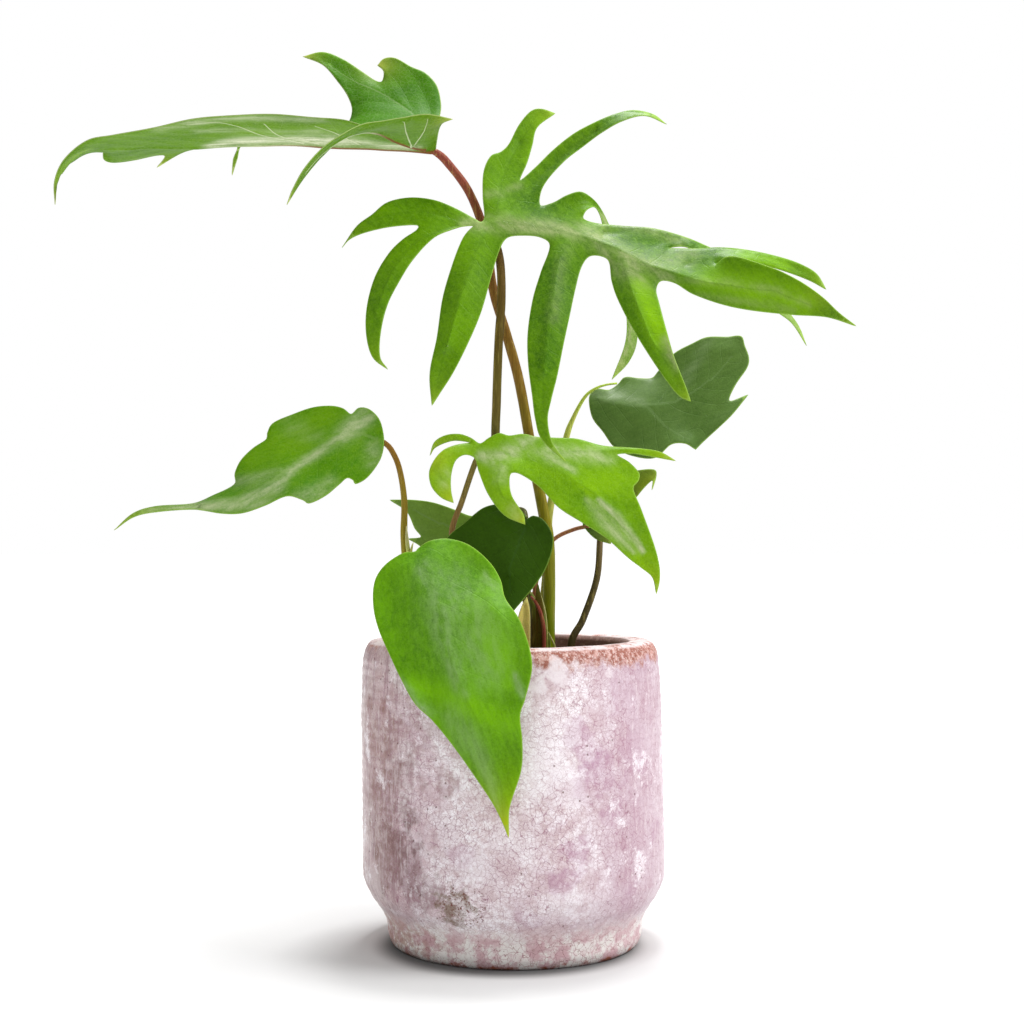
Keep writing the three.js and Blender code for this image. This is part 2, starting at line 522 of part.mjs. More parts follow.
// Two alike faces half a thickness to either side of a sheet, joined round its border.
function thickened(sheet, triangles, borderLength, grown) {
  const normals = sheet.map(() => new THREE.Vector3());
  for (const [i, j, k] of triangles) {
    const across = new THREE.Vector3().subVectors(sheet[k], sheet[i]);
    const face = new THREE.Vector3().subVectors(sheet[j], sheet[i]).cross(across);
    [i, j, k].forEach((corner) => normals[corner].add(face));
  }
  normals.forEach((normal) => normal.normalize());
  const count = sheet.length;
  const outward = sheet.map((point, i) => {
    const before = sheet[(i + borderLength - 1) % borderLength];
    const after = sheet[(i + 1) % borderLength];
    const sideways = new THREE.Vector3().subVectors(after, before).cross(normals[i]);
    return sideways.setLength(i < borderLength ? grown : 0);
  });
  const half = bladeThickness / 2 + grown;
  const positions = [half, -half].flatMap((offset) => sheet.flatMap((point, i) =>
    point.clone().add(outward[i]).addScaledVector(normals[i], offset).toArray()));
  const index = triangles.flatMap(([i, j, k]) => [i, j, k, i + count, k + count, j + count]);
  for (let i = 0; i < borderLength; i++) {
    const next = (i + 1) % borderLength;
    index.push(i + count, next + count, next, i + count, next, i);
  }
  const geometry = new THREE.BufferGeometry();
  geometry.setAttribute('position', new THREE.Float32BufferAttribute(positions, 3));
  geometry.setIndex(index);
  return geometry;
}

// A round stalk of changing width along a line, closed at both ends.
function stalkGeometry(line, extra) {
  const path = smoothLine(line, stalkStep);
  const centres = path.map(place);
  const positions = [];
  const index = [];
  const side = new THREE.Vector3(1, 0, 0);
  path.forEach(([, , depth, width], n) => {
    const before = centres[Math.max(n - 1, 0)];
    const after = centres[Math.min(n + 1, path.length - 1)];
    const along = new THREE.Vector3().subVectors(after, before).normalize();
    side.addScaledVector(along, -side.dot(along)).normalize();
    const up = new THREE.Vector3().crossVectors(along, side);
    const radius = (width / 2) * (1 + depth / eyeDistance) + extra;
    for (let k = 0; k < stalkSides; k++) {
      const angle = (2 * Math.PI * k) / stalkSides;
      const point = centres[n].clone();
      point.addScaledVector(side, radius * Math.cos(angle)).addScaledVector(up, radius * Math.sin(angle));
      positions.push(...point.toArray());
      const next = (k + 1) % stalkSides;
      const [a, b] = [(n - 1) * stalkSides, n * stalkSides];
      if (n > 0) index.push(a + k, a + next, b + next, a + k, b + next, b + k);
    }
  });
  const top = (path.length - 1) * stalkSides;
  for (let k = 1; k < stalkSides - 1; k++) {
    index.push(0, k + 1, k);
    index.push(top, top + k, top + k + 1);
  }
  const geometry = new THREE.BufferGeometry();
  geometry.setAttribute('position', new THREE.Float32BufferAttribute(positions, 3));
  geometry.setIndex(index);
  return geometry;
}

// A solid for joining and cutting, from a closed geometry.
function solidOf(geometry) {
  const bare = geometry.clone();
  bare.deleteAttribute('normal');
  bare.deleteAttribute('uv');
  const merged = mergeVertices(bare, 1e-3);
  const triVerts = [];
  for (let i = 0; i < merged.index.count; i += 3) {
    const [a, b, c] = merged.index.array.slice(i, i + 3);
    if (a !== b && b !== c && c !== a) triVerts.push(a, b, c);
  }
  const mesh = new wasm.Mesh({
    numProp: 3,
    vertProperties: merged.attributes.position.array,
    triVerts: Uint32Array.from(triVerts),
  });
  return new wasm.Manifold(mesh);
}

function geometryOf(solid) {
  const { vertProperties, triVerts } = solid.getMesh();
  const geometry = new THREE.BufferGeometry();
  geometry.setAttribute('position', new THREE.Float32BufferAttribute(vertProperties, 3));
  geometry.setIndex([...triVerts]);
  return geometry;
}

// What is left of one solid outside another: its largest piece.
function cutBy(solid, tool) {
  const pieces = solid.subtract(tool).decompose();
  return pieces.reduce((largest, piece) => (piece.volume() > largest.volume() ? piece : largest));
}

// The hand-thrown pot leans a little: every height moves sideways in proportion.
function leaned(geometry) {
  const places = geometry.attributes.position;
  for (let i = 0; i < places.count; i++) {
    places.setX(i, places.getX(i) + potLean * (0.5 - places.getZ(i) / potHeight));
  }
  return geometry;
}

// A turned body from a profile of [radius, height], standing upright.
function turnedGeometry(profile) {
  const points = profile.map(([radius, height]) => new THREE.Vector2(radius, height));
  return leaned(new THREE.LatheGeometry(points, potSides).rotateX(Math.PI / 2));
}

function potGeometry() {
  const lip = 2;
  const outside = [
    [0, 0], [potRadius - 13.7, 0], [potRadius - 12, 4], [potRadius - 11.5, 9.7], [potRadius - 10.2, 14.7],
    [potRadius - 7.5, 19.7], [potRadius - 4, 24.7], [potRadius - 1.5, 29.7], [potRadius, 36], [potRadius, 75],
    [potRadius - 0.3, 100], [potRadius - 0.7, 125], [potRadius - 2, 143], [potRadius - 3.5, potHeight - lip],
    [potRadius - 5.5, potHeight],
  ];
  const inside = [
    [mouthRadius + 2, potHeight], [mouthRadius, potHeight - lip], [mouthRadius, 40], [mouthRadius - 3, 22],
    [mouthRadius - 9, potFloor], [0, potFloor],
  ];
  return turnedGeometry([...outside, ...inside]);
}

function soilGeometry() {
  const bottom = potFloor + gap;
  const radius = mouthRadius - gap;
  const body = [[0, bottom], [radius - 9.5, bottom], [radius - 3, 23], [radius, 41], [radius, soilLevel - 2]];
  const top = [[radius * 0.7, soilLevel], [radius * 0.35, soilLevel - 0.8], [0, soilLevel + 1]];
  const lines = Object.values(stalks).map((stalk) => stalk.line);
  const stems = lines.map((line) => solidOf(stalkGeometry(line, gap)));
  const sheets = Object.values(scraps).map((scrap) => solidOf(bladeGeometry(scrap, gap)));
  const holes = [...stems, ...sheets].reduce((all, hole) => all.add(hole));
  return geometryOf(cutBy(solidOf(turnedGeometry([...body, ...top])), holes));
}

// A stalk ends a gap short of its blade.
function fittedStalk({ line, blade }) {
  const geometry = stalkGeometry(line, 0);
  if (!blade) return geometry;
  const seat = solidOf(bladeGeometry(blades[blade], gap));
  return geometryOf(cutBy(solidOf(geometry), seat));
}

const plant = new THREE.Group();

function add(name, geometry, color, roughness) {
  const material = new THREE.MeshStandardMaterial({ color, roughness, metalness: 0 });
  const mesh = new THREE.Mesh(geometry, material);
  mesh.name = name;
  plant.add(mesh);
}

add('pot', potGeometry(), 0xd6c5c9, 0.35);
add('soil', soilGeometry(), 0x3a2a20, 0.95);
for (const [name, blade] of Object.entries({ ...blades, ...scraps })) {
  add(name, bladeGeometry(blade, 0), blade.color, 0.45);
}
for (const [name, stalk] of Object.entries(stalks)) {
  add(name, fittedStalk(stalk), stalk.color, 0.5);
}

export default plant;
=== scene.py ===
# %% [markdown]
# # Potted oakleaf philodendron
#
# A young house plant in a hand-glazed pot: ten leaves, from plain hearts to blades cut into long narrow
# lobes, on thin stalks that come up through bark and peat. The measured model arrives as a fixed frame of
# coarse solids. This lesson builds each of them again in the same place as a fine mesh, and gives each a
# finish made from shader nodes alone.

# %% Frame
import math
import random

import bpy
import numpy as np
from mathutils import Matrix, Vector, kdtree, noise
from mathutils.geometry import delaunay_2d_cdt


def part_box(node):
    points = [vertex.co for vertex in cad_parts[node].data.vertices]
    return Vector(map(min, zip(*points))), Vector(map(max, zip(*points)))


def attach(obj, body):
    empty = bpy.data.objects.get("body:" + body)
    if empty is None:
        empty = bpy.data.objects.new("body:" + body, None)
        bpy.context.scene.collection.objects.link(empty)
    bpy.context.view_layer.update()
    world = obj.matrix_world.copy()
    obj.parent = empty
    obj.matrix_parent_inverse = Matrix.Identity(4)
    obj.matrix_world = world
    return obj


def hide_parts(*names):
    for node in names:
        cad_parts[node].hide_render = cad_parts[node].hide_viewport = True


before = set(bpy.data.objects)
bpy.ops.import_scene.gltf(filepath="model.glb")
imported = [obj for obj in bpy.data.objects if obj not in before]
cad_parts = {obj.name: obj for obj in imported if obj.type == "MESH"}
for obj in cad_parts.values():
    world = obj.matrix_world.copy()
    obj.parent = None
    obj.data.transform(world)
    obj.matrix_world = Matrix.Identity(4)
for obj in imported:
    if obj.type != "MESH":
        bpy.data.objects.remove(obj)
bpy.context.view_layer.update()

# %% [markdown]
# ## Where the eye stands
#
# The plant is seen from the front, level with the lowest leaves, from less than a metre away, so near
# leaves look a little larger than far ones. The leaves were drawn on an upright sheet through the pot's
# axis, as seen from that point. A real camera in the same place then shows every leaf where it was drawn.
# Its lens follows from how many millimetres of the sheet fill the picture.

# %% Camera
MM = 0.001
eye_distance = 850
eye_height = 203
picture_width = 512
sensor_width = 36
picture_pixels = 1024
centre_across = 1
centre_down = 21.4

camera_data = bpy.data.cameras.new("eye")
camera_data.sensor_width = sensor_width
camera_data.lens = sensor_width * eye_distance / picture_width
camera_data.shift_x = -centre_across / picture_pixels
camera_data.shift_y = centre_down / picture_pixels
camera = bpy.data.objects.new("eye", camera_data)
camera.location = (0, -eye_distance * MM, eye_height * MM)
camera.rotation_euler = (math.radians(90), 0, 0)
bpy.context.scene.collection.objects.link(camera)
bpy.context.scene.camera = camera
print("lens:", round(camera_data.lens, 2), "mm")

# %% [markdown]
# ## Floor and light
#
# The plant stands on a white sheet. White light fills the room from above and fades towards the floor, so
# that leaves shine where they face up and keep their full green where they hang. One large soft lamp, high
# on the right, models the forms and lays a soft shadow to the left, and another overhead, a little behind,
# lays one in front. Only the eye sees the room as pure white. Round the foot the sheet's colour is darkened
# into a painted contact shadow, and farther out the sheet glows, painted light that lifts the shadows cast
# there, so that the shadow stays close and the sheet meets the room without a line.

# %% Studio
sheet_size = 30.0
room_low, room_high = 0.12, 0.85
contact_middle = (-0.0015, -0.009, 0)
contact_start, contact_end = 0.056, 0.071


def principled(name):
    """A new material, its node tree and its shader."""
    material = bpy.data.materials.new(name)
    material.use_nodes = True
    return material, material.node_tree, material.node_tree.nodes["Principled BSDF"]


def put(tree, kind, values=None, **settings):
    """Places a node. A value is a number, a colour or another node's output."""
    node = tree.nodes.new(kind)
    for key, value in settings.items():
        setattr(node, key, value)
    for key, value in (values or {}).items():
        if isinstance(value, bpy.types.NodeSocket):
            tree.links.new(value, node.inputs[key])
        else:
            node.inputs[key].default_value = value
    return node


def ease(tree, value, low, high, start=0.0, end=1.0):
    """Rises smoothly from start at low to end at high."""
    values = {0: value, 1: low, 2: high, 3: start, 4: end}
    return put(tree, "ShaderNodeMapRange", values, interpolation_type="SMOOTHSTEP").outputs[0]


def own_place(tree):
    """The place on the piece, in metres."""
    return put(tree, "ShaderNodeTexCoord").outputs["Object"]


def lamp(name, place, target, size, watts):
    """A soft square lamp that points at a target."""
    data = bpy.data.lights.new(name, "AREA")
    data.size = size
    data.energy = watts
    lamp_object = bpy.data.objects.new(name, data)
    lamp_object.location = place
    aim = Vector(target) - Vector(place)
    lamp_object.rotation_euler = aim.to_track_quat("-Z", "Y").to_euler()
    bpy.context.scene.collection.objects.link(lamp_object)


floor_mesh = bpy.data.meshes.new("white sheet")
half = sheet_size / 2
floor_corners = [(-half, -half, 0), (half, -half, 0), (half, half, 0), (-half, half, 0)]
floor_mesh.from_pydata(floor_corners, [], [(0, 1, 2, 3)])
floor = bpy.data.objects.new("white_sheet", floor_mesh)
bpy.context.scene.collection.objects.link(floor)
paper, paper_tree, paper_shader = principled("white sheet")
paper_shader.inputs["Roughness"].default_value = 1.0
away = put(paper_tree, "ShaderNodeVectorMath", {0: own_place(paper_tree)},
           operation="LENGTH").outputs["Value"]
under_foot = put(paper_tree, "ShaderNodeVectorMath", {0: own_place(paper_tree), 1: contact_middle},
                 operation="DISTANCE").outputs["Value"]
# Painted contact shadow: the sheet's colour darkens close round the foot.
painted_contact_shadow = ease(paper_tree, under_foot, contact_start, contact_end, 0.16, 0.72)
painted_contact_shadow = put(paper_tree, "ShaderNodeCombineColor", {key: painted_contact_shadow for key in range(3)})
paper_tree.links.new(painted_contact_shadow.outputs[0], paper_shader.inputs["Base Color"])
# Painted light: farther from the plant the sheet glows, which lifts the shadows cast there.
far = put(paper_tree, "ShaderNodeMath", {0: ease(paper_tree, away, 0.3, 1.2, 0.0, 0.5),
                                         1: ease(paper_tree, away, 0.05, 0.3)}, operation="ADD").outputs[0]
painted_glow = put(paper_tree, "ShaderNodeCombineColor", {key: far for key in range(3)})
paper_tree.links.new(painted_glow.outputs[0], paper_shader.inputs["Emission Color"])
paper_shader.inputs["Emission Strength"].default_value = 0.45
floor_mesh.materials.append(paper)

world = bpy.data.worlds.new("bright room")
world.use_nodes = True
room = world.node_tree
direction = put(room, "ShaderNodeTexCoord").outputs["Generated"]
upward = put(room, "ShaderNodeSeparateXYZ", {0: direction}).outputs[2]
seen = put(room, "ShaderNodeLightPath").outputs["Is Camera Ray"]
lit = ease(room, upward, 0.0, 0.9, room_low, room_high)
strength = put(room, "ShaderNodeMix", {0: seen, 2: lit, 3: 1.0}).outputs[0]
room.links.new(strength, room.nodes["Background"].inputs["Strength"])
room.nodes["Background"].inputs["Color"].default_value = (1, 1, 1, 1)
bpy.context.scene.world = world
lamp("high right", (0.8, -0.25, 1.05), (0, 0, 0.2), 0.6, 10)
lamp("overhead", (0.1, 0.26, 1.3), (0, 0, 0.1), 0.35, 12)
bpy.context.scene.view_settings.view_transform = "Standard"
print("sheet", sheet_size, "m wide")

# %% [markdown]
# ## Drawing tools
#
# A margin is drawn as a few points. Each point has its place across and up on the drawing sheet, with a
# depth where it changes its trend. Where a lobe folds over, the point also has its place in the flattened
# leaf. A smooth curve through such points could be a Bezier object, but a small function that returns the
# curve as numbers can feed every mesh below. It eases from point to point with slopes taken from the
# neighbours, and the steps between knots shrink where the points are close, so sharp bends don't overshoot.

# %% Smooth lines


def completed(points):
    """Fills in what points leave out: a depth in proportion to the way along, and the flat place."""
    drawn = np.array([point[:2] for point in points], float)
    way = np.concatenate([[0], np.cumsum(np.hypot(*np.diff(drawn, axis=0).T))])
    known = [i for i, point in enumerate(points) if len(point) > 2]
    depth = np.interp(way, way[known], [points[i][2] for i in known])
    flat = np.array([point[3:5] if len(point) > 3 else point[:2] for point in points], float)
    return np.column_stack([drawn, depth, flat])


def smooth_line(points, step):
    """A smooth line through points of any number of values, in steps of about the given length."""
    points = np.asarray(points, float)
    apart = np.linalg.norm(np.diff(points[:, :3], axis=0), axis=1)
    knot = np.concatenate([[0], np.cumsum(np.sqrt(apart))])
    order = np.arange(len(points))
    before, after = np.maximum(order - 1, 0), np.minimum(order + 1, order[-1])
    slope = (points[after] - points[before]) / (knot[after] - knot[before])[:, None]
    line = []
    for i, length in enumerate(apart):
        span = knot[i + 1] - knot[i]
        t = np.linspace(0, 1, max(1, round(length / step)), endpoint=False)[:, None]
        rise = span * (slope[i] * t * (1 - t) ** 2 - slope[i + 1] * t * t * (1 - t))
        line.append(points[i] + (points[i + 1] - points[i]) * t * t * (3 - 2 * t) + rise)
    return np.vstack([*line, points[-1:]])


def margin_line(arcs, step):
    """The closed margin of a blade from its arcs, each from one sharp tip to the next."""
    ends = [*arcs[1:], arcs[0]]
    return np.vstack([smooth_line(completed([*arc, end[0]]), step)[:-1] for arc, end in zip(arcs, ends)])


def placed(points):
    """Points of the drawing sheet, moved along their lines of sight to their depth, in millimetres."""
    across, height, depth = points[:, 0], points[:, 1], points[:, 2]
    spread = 1 + depth / eye_distance
    return np.column_stack([across * spread, depth, eye_height + (height - eye_height) * spread])


def smooth_step(low, high, value):
    """0 below low, 1 above high, and an even rise between."""
    t = np.clip((np.asarray(value, float) - low) / (high - low), 0, 1)
    return t * t * (3 - 2 * t)


print("a line of", len(smooth_line([[0, 0, 0], [10, 5, 0], [20, 0, 0]], 1)), "points")

# %% [markdown]
# ## Pieces
#
# Each piece is a mesh object at the origin, with its place in its vertices. Numbers that the finish needs,
# such as how far a spot is from the leaf's edge, are stored on the vertices as named attributes. They could
# be painted as an image, but attributes stay sharp at any size and need no unwrapping.

# %% Make a piece


def make_piece(name, nodes, points, faces, materials, second=None, attributes=None):
    """A smooth mesh object, in millimetres, that stands for the given nodes of the measured model."""
    mesh = bpy.data.meshes.new(name)
    mesh.from_pydata((np.asarray(points) * MM).tolist(), [], faces)
    mesh.polygons.foreach_set("use_smooth", [True] * len(faces))
    for material in materials:
        mesh.materials.append(material)
    if second is not None:
        mesh.polygons.foreach_set("material_index", np.asarray(second, int))
    for key, values in (attributes or {}).items():
        mesh.attributes.new(key, "FLOAT", "POINT").data.foreach_set("value", np.asarray(values, float))
    piece = bpy.data.objects.new(name, mesh)
    bpy.context.scene.collection.objects.link(piece)
    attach(piece, "root")
    if nodes:
        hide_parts(*nodes)
    print(name, len(mesh.vertices), "vertices,", len(mesh.polygons), "faces")
    return piece


# %% [markdown]
# ## Blades
#
# A leaf blade is a thin skin held open by its ribs. It could be sculpted, or cut from a grid by a mask,
# but then the cut edge would be jagged. Here the margin itself is triangulated, flat, with rows of points
# along the ribs and an even grid between them. Then the flat sheet is put in the air: margin and ribs go
# where they were drawn, and every other point settles at the mean of its neighbours, like a soap film.

# %% Flat sheet of a blade
margin_step = 1.2
rib_step = 1.0
grid_step = 1.6
rib_rows = ((0.7, 0.5), (1.5, 0.6))
grid_clearance = 0.75
settle_rounds = 800
settle_end = 1e-10


def inside(points, outline):
    """Which flat points lie inside a closed outline."""
    x, y = points[:, :1], points[:, 1:2]
    px, py = outline.T
    qx, qy = np.roll(outline, -1, axis=0).T
    with np.errstate(divide="ignore", invalid="ignore"):
        crosses = ((py > y) != (qy > y)) & (x < px + (qx - px) * (y - py) / (qy - py))
    return crosses.sum(axis=1) % 2 == 1


def clear_of(points, others, reach):
    """Which flat points are farther than reach from all others."""
    tree = kdtree.KDTree(len(others))
    for i, (u, v) in enumerate(others):
        tree.insert((u, v, 0), i)
    tree.balance()
    return np.array([tree.find((u, v, 0))[2] > reach for u, v in points], bool)


def side_rows(line, offset):
    """The two rows that run beside a flat line."""
    along = np.gradient(line, axis=0)
    across = np.column_stack([-along[:, 1], along[:, 0]]) / np.hypot(*along.T)[:, None]
    return np.vstack([line + offset * across, line - offset * across])


def grid_points(outline):
    """An even triangular grid over an outline."""
    low, high = outline.min(axis=0), outline.max(axis=0)
    row_height = grid_step * math.sin(math.radians(60))
    rows = np.arange(low[1], high[1], row_height)
    columns = np.arange(low[0], high[0], grid_step)
    u = np.concatenate([columns + (grid_step / 2 if n % 2 else 0) for n in range(len(rows))])
    grid = np.column_stack([u, np.repeat(rows, len(columns))])
    return grid[inside(grid, outline)]


def flat_sheet(outline, rib_lines):
    """Flat points (margin, then ribs, then rows beside the ribs, then the grid) and triangles."""
    flat = np.vstack([outline, *rib_lines])
    groups = [(clearance, side_rows(line, offset)) for offset, clearance in rib_rows for line in rib_lines]
    for clearance, group in [*groups, (grid_clearance, grid_points(outline))]:
        group = group[inside(group, outline)]
        group = group[clear_of(group, outline, 0.5 * margin_step)]
        flat = np.vstack([flat, group[clear_of(group, flat, clearance)]])
    corners = [Vector(point) for point in flat]
    count = len(outline)
    edges = [(i, (i + 1) % count) for i in range(count)]
    _, _, faces, origin, _, _ = delaunay_2d_cdt(corners, edges, [], 1, 1e-5)
    source = np.array([first[0] for first in origin])
    triangles = source[np.array(faces)]
    p, q, r = (flat[triangles[:, k]] for k in range(3))
    turned = np.cross(q - p, r - p) < 0
    triangles[turned] = triangles[turned][:, ::-1]
    return flat, triangles


def settled(points, fixed, triangles):
    """Points that aren't fixed move until each is at the mean of its neighbours (conjugate gradients)."""
    pairs = np.vstack([triangles[:, [0, 1]], triangles[:, [1, 2]], triangles[:, [2, 0]]])
    pairs = np.unique(np.vstack([pairs, pairs[:, ::-1]]), axis=0)
    start, end = pairs.T
    count = len(points)
    degree = np.bincount(start, minlength=count)[:, None]

    def pull(values):
        total = [np.bincount(start, values[end, k], count) for k in range(3)]
        result = degree * values - np.column_stack(total)
        result[fixed] = 0
        return result

    rest = -pull(points)
    step = rest.copy()
    size = (rest * rest).sum()
    for _ in range(settle_rounds):
        pulled = pull(step)
        stride = size / (step * pulled).sum()
        points = points + stride * step
        rest = rest - stride * pulled
        size, last = (rest * rest).sum(), size
        if size < settle_end:
            break
        step = rest + size / last * step
    return points


print("grid of", grid_step, "mm")

# %% [markdown]
# The finish and the relief both follow the ribs. For each vertex this finds the nearest rib, how far along
# and beside it the vertex lies, and how far the margin is. Side veins leave the rib at a slant and bend
# towards the tip, so a number that grows by one from vein to vein is the length along the rib less a part
# of the distance beside it. Where two ribs claim the same ground the veins fade out.

# %% Measure a sheet
block_size = 800
before_start = -1e3
stroke_step = 2


def nearest_on(points, line):
    """Distance of flat points to a line, the length along it, and the side they are on."""
    start, step = line[:-1], np.diff(line, axis=0)
    length = np.hypot(*step.T)
    run = np.concatenate([[0], np.cumsum(length)[:-1]])
    distance, along, side = (np.empty(len(points)) for _ in range(3))
    for first in range(0, len(points), block_size):
        block = slice(first, first + block_size)
        offset = points[block, None] - start
        share = (offset * step).sum(axis=2) / length**2
        low = np.where(np.arange(len(start)) == 0, before_start, 0)
        kept = np.clip(share, 0, 1)
        gap = offset - kept[..., None] * step
        reach = np.hypot(gap[..., 0], gap[..., 1])
        best = reach.argmin(axis=1)
        row = np.arange(len(best))
        distance[block] = reach[row, best]
        along[block] = run[best] + np.clip(share, low, 1)[row, best] * length[best]
        side[block] = np.sign(np.cross(step[best], offset[row, best]))
    return distance, along, side


def brushed(flat, strokes):
    """How much soft brush strokes tint each flat point. A stroke is a strength, then points with a reach."""
    tint = np.zeros(len(flat))
    for strength, *points in strokes:
        line = smooth_line([(u, v, 0, reach) for u, v, reach in points], stroke_step)
        distance, along, _ = nearest_on(flat, line[:, :2])
        run = np.concatenate([[0], np.cumsum(np.hypot(*np.diff(line[:, :2], axis=0).T))])
        soft = np.exp(-((distance / np.interp(along, run, line[:, 3])) ** 2))
        tint = np.where(abs(strength) * soft > np.abs(tint), strength * soft, tint)
    return tint


short_rib = np.array([[0.0, 0.0], [2.0, 0.0]])
print("from the middle of a short rib:", nearest_on(np.array([[1.0, 2.0]]), short_rib))

# %% [markdown]
# The skin gets its thickness last. The upper face sinks a little along the ribs, and the lower face stands
# out there as a round ridge that thins towards the tip. Between the side veins the blade swells slightly,
# and wide slow waves keep it from looking ironed. The border has a third loop, pushed out, so that the cut
# edge is round and catches a thin line of light.

# %% Blade in the air
rib_clearance = 0.6


def drawn_lines(margin, ribs):
    """A blade's margin and ribs as smooth lines, and -1 where the flat leaf had to be mirrored."""
    border = margin_line(margin, margin_step)
    hand = np.sign(np.cross(border[:, 3:], np.roll(border[:, 3:], -1, axis=0)).sum())
    border[:, 3] *= hand
    lines = []
    for rib in ribs:
        line = smooth_line(completed(rib), rib_step)
        line[:, 3] *= hand
        for others in [border, *lines]:
            line = line[clear_of(line[:, 3:], others[:, 3:], rib_clearance)]
        lines.append(line[inside(line[:, 3:], border[:, 3:])])
    return border, lines, hand


def in_the_air(border, lines, flat, triangles, crease, held_share):
    """The flat points put in the air. The margin holds them, and with the strength crease the ribs do too,
    over the held share of their length from the foot."""
    sheet = placed(np.vstack([border, *lines]))
    held = len(sheet)
    sheet = np.vstack([sheet, np.tile(sheet.mean(axis=0), (len(flat) - held, 1))])
    fixed = np.zeros(len(flat), bool)
    fixed[: len(border)] = True
    loose = settled(sheet, fixed, triangles)
    fixed[len(border) : held] = np.concatenate([np.linspace(0, 1, len(line)) < held_share for line in lines])
    return loose + crease * (settled(sheet, fixed, triangles) - loose)


print("ribs stay", rib_clearance, "mm clear of each other")

# %% Blade skin
blade_half = 0.28
margin_half = 0.65 * blade_half
edge_round = 0.22


def vertex_normals(points, triangles):
    """The mean direction of the triangles around each point."""
    p, q, r = (points[triangles[:, k]] for k in range(3))
    facing = np.cross(q - p, r - p)
    normals = np.zeros_like(points)
    for k in range(3):
        for axis in range(3):
            normals[:, axis] += np.bincount(triangles[:, k], facing[:, axis], len(points))
    return normals / np.linalg.norm(normals, axis=1)[:, None]


def closed_skin(sheet, triangles, rim, lift_upper, lift_under):
    """Both faces of a sheet and its round border: points, faces, and 1 for each face that is under."""
    normals = vertex_normals(sheet, triangles)
    count = len(sheet)
    thick = np.where(np.arange(count) < rim, margin_half, blade_half)
    upper = sheet + normals * (lift_upper + thick)[:, None]
    under = sheet + normals * (lift_under - thick)[:, None]
    ahead = np.roll(sheet[:rim], -1, axis=0) - np.roll(sheet[:rim], 1, axis=0)
    outward = np.cross(ahead, normals[:rim])
    outward /= np.linalg.norm(outward, axis=1)[:, None]
    points = np.vstack([upper, under, sheet[:rim] + edge_round * outward])
    loop = np.arange(rim)
    following = np.roll(loop, -1)
    faces = triangles.tolist() + (triangles[:, ::-1] + count).tolist()
    faces += np.column_stack([loop, loop + 2 * count, following + 2 * count, following]).tolist()
    sides = [loop + 2 * count, loop + count, following + count, following + 2 * count]
    faces += np.column_stack(sides).tolist()
    return points, faces, [0] * len(triangles) + [1] * len(triangles) + [0] * (2 * rim)


print("blade", 2 * blade_half, "mm thick")

# %% Blade
keel_depth = 9
drift_scale = 30
relief_width = 0.85
no_other_rib = 99.0


def make_blade(name, node, margin, ribs, finish, vein_gap=8, slant=0.55, bend=0.004, swell=0.3,
               wave=0.7, groove=0.14, ridge=0.9, keel=0.08, rib_size=relief_width, crease=0.6, held_share=0.8,
               painted_sheen=(), fresh=(), seed=1):
    """A leaf blade from its margin arcs and ribs. The finish is its upper and under material."""
    border, lines, hand = drawn_lines(margin, ribs)
    outline = border[:, 3:]
    flat, triangles = flat_sheet(outline, [line[:, 3:] for line in lines])
    sheet = in_the_air(border, lines, flat, triangles, crease, held_share)

    measured = [nearest_on(flat, line[:, 3:]) for line in lines]
    distances, lengths, sides = (np.array(kind) for kind in zip(*measured))
    nearest = distances.argmin(axis=0)
    beside, along, side = (kind[nearest, np.arange(len(flat))] for kind in (distances, lengths, sides))
    others = np.sort(distances, axis=0)[1] if len(lines) > 1 else np.full(len(flat), no_other_rib)
    whole = np.array([np.hypot(*np.diff(line[:, 3:], axis=0).T).sum() for line in lines])
    share = np.clip(along / whole[nearest], 0, 1)
    edge = nearest_on(flat, np.vstack([outline, outline[:1]]))[0]
    edge[: len(outline)] = 0
    tips = np.array([completed([*arc, arc[0]])[0, 3:] * (hand, 1) for arc in margin])
    from_tip = np.linalg.norm(flat[:, None] - tips, axis=2).min(axis=1)
    rib_size = np.broadcast_to(rib_size, len(lines))[nearest]
    leaves_rib = along - slant * beside - bend * beside**2
    vein = leaves_rib / vein_gap + 0.5 * (side > 0) + 0.37 * nearest
    fade = smooth_step(0.6, 3.5, others - beside) * smooth_step(0.2, 2.5, edge)

    on_rib = (1 - 0.75 * share) * np.exp(-((beside / rib_size) ** 2))
    lift = swell * (np.abs(np.sin(np.pi * vein)) - 0.55) * fade * smooth_step(0.5, 4, beside)
    drift = np.array([noise.noise(Vector((u / drift_scale, v / drift_scale, seed * 7.3))) for u, v in flat])
    lift += wave * 2 * drift * smooth_step(0, 9, edge) - keel * keel_depth * (1 - np.exp(-edge / keel_depth))
    points, faces, second = closed_skin(sheet, triangles, len(outline), lift - groove * on_rib,
                                        lift - ridge * rib_size * on_rib)
    drawn = flat * (hand, 1)
    # The sheen strokes are painted sheen: milky highlights where light catches the wax.
    kept = {"beside": beside * relief_width / rib_size, "vein": vein, "fade": fade, "edge": edge,
            "share": share, "tip": from_tip, "order": nearest, "painted_sheen": brushed(drawn, painted_sheen),
            # The green strokes are partly the leaf's own fresher and deeper green, partly painted light and
            # shade.
            "fresh": brushed(drawn, fresh)}
    around = len(outline)
    attributes = {key: np.concatenate([values, values, values[:around]]) for key, values in kept.items()}
    return make_piece(name, [node], points, faces, finish, second, attributes)


print("the waves of a blade are about", drift_scale, "mm long")

# %% [markdown]
# ## Finishes made of nodes
#
# Every finish below is a short chain of nodes. A few small helpers keep the chains readable: each wraps
# one of the nodes that come up most and returns its output.

# %% Node helpers


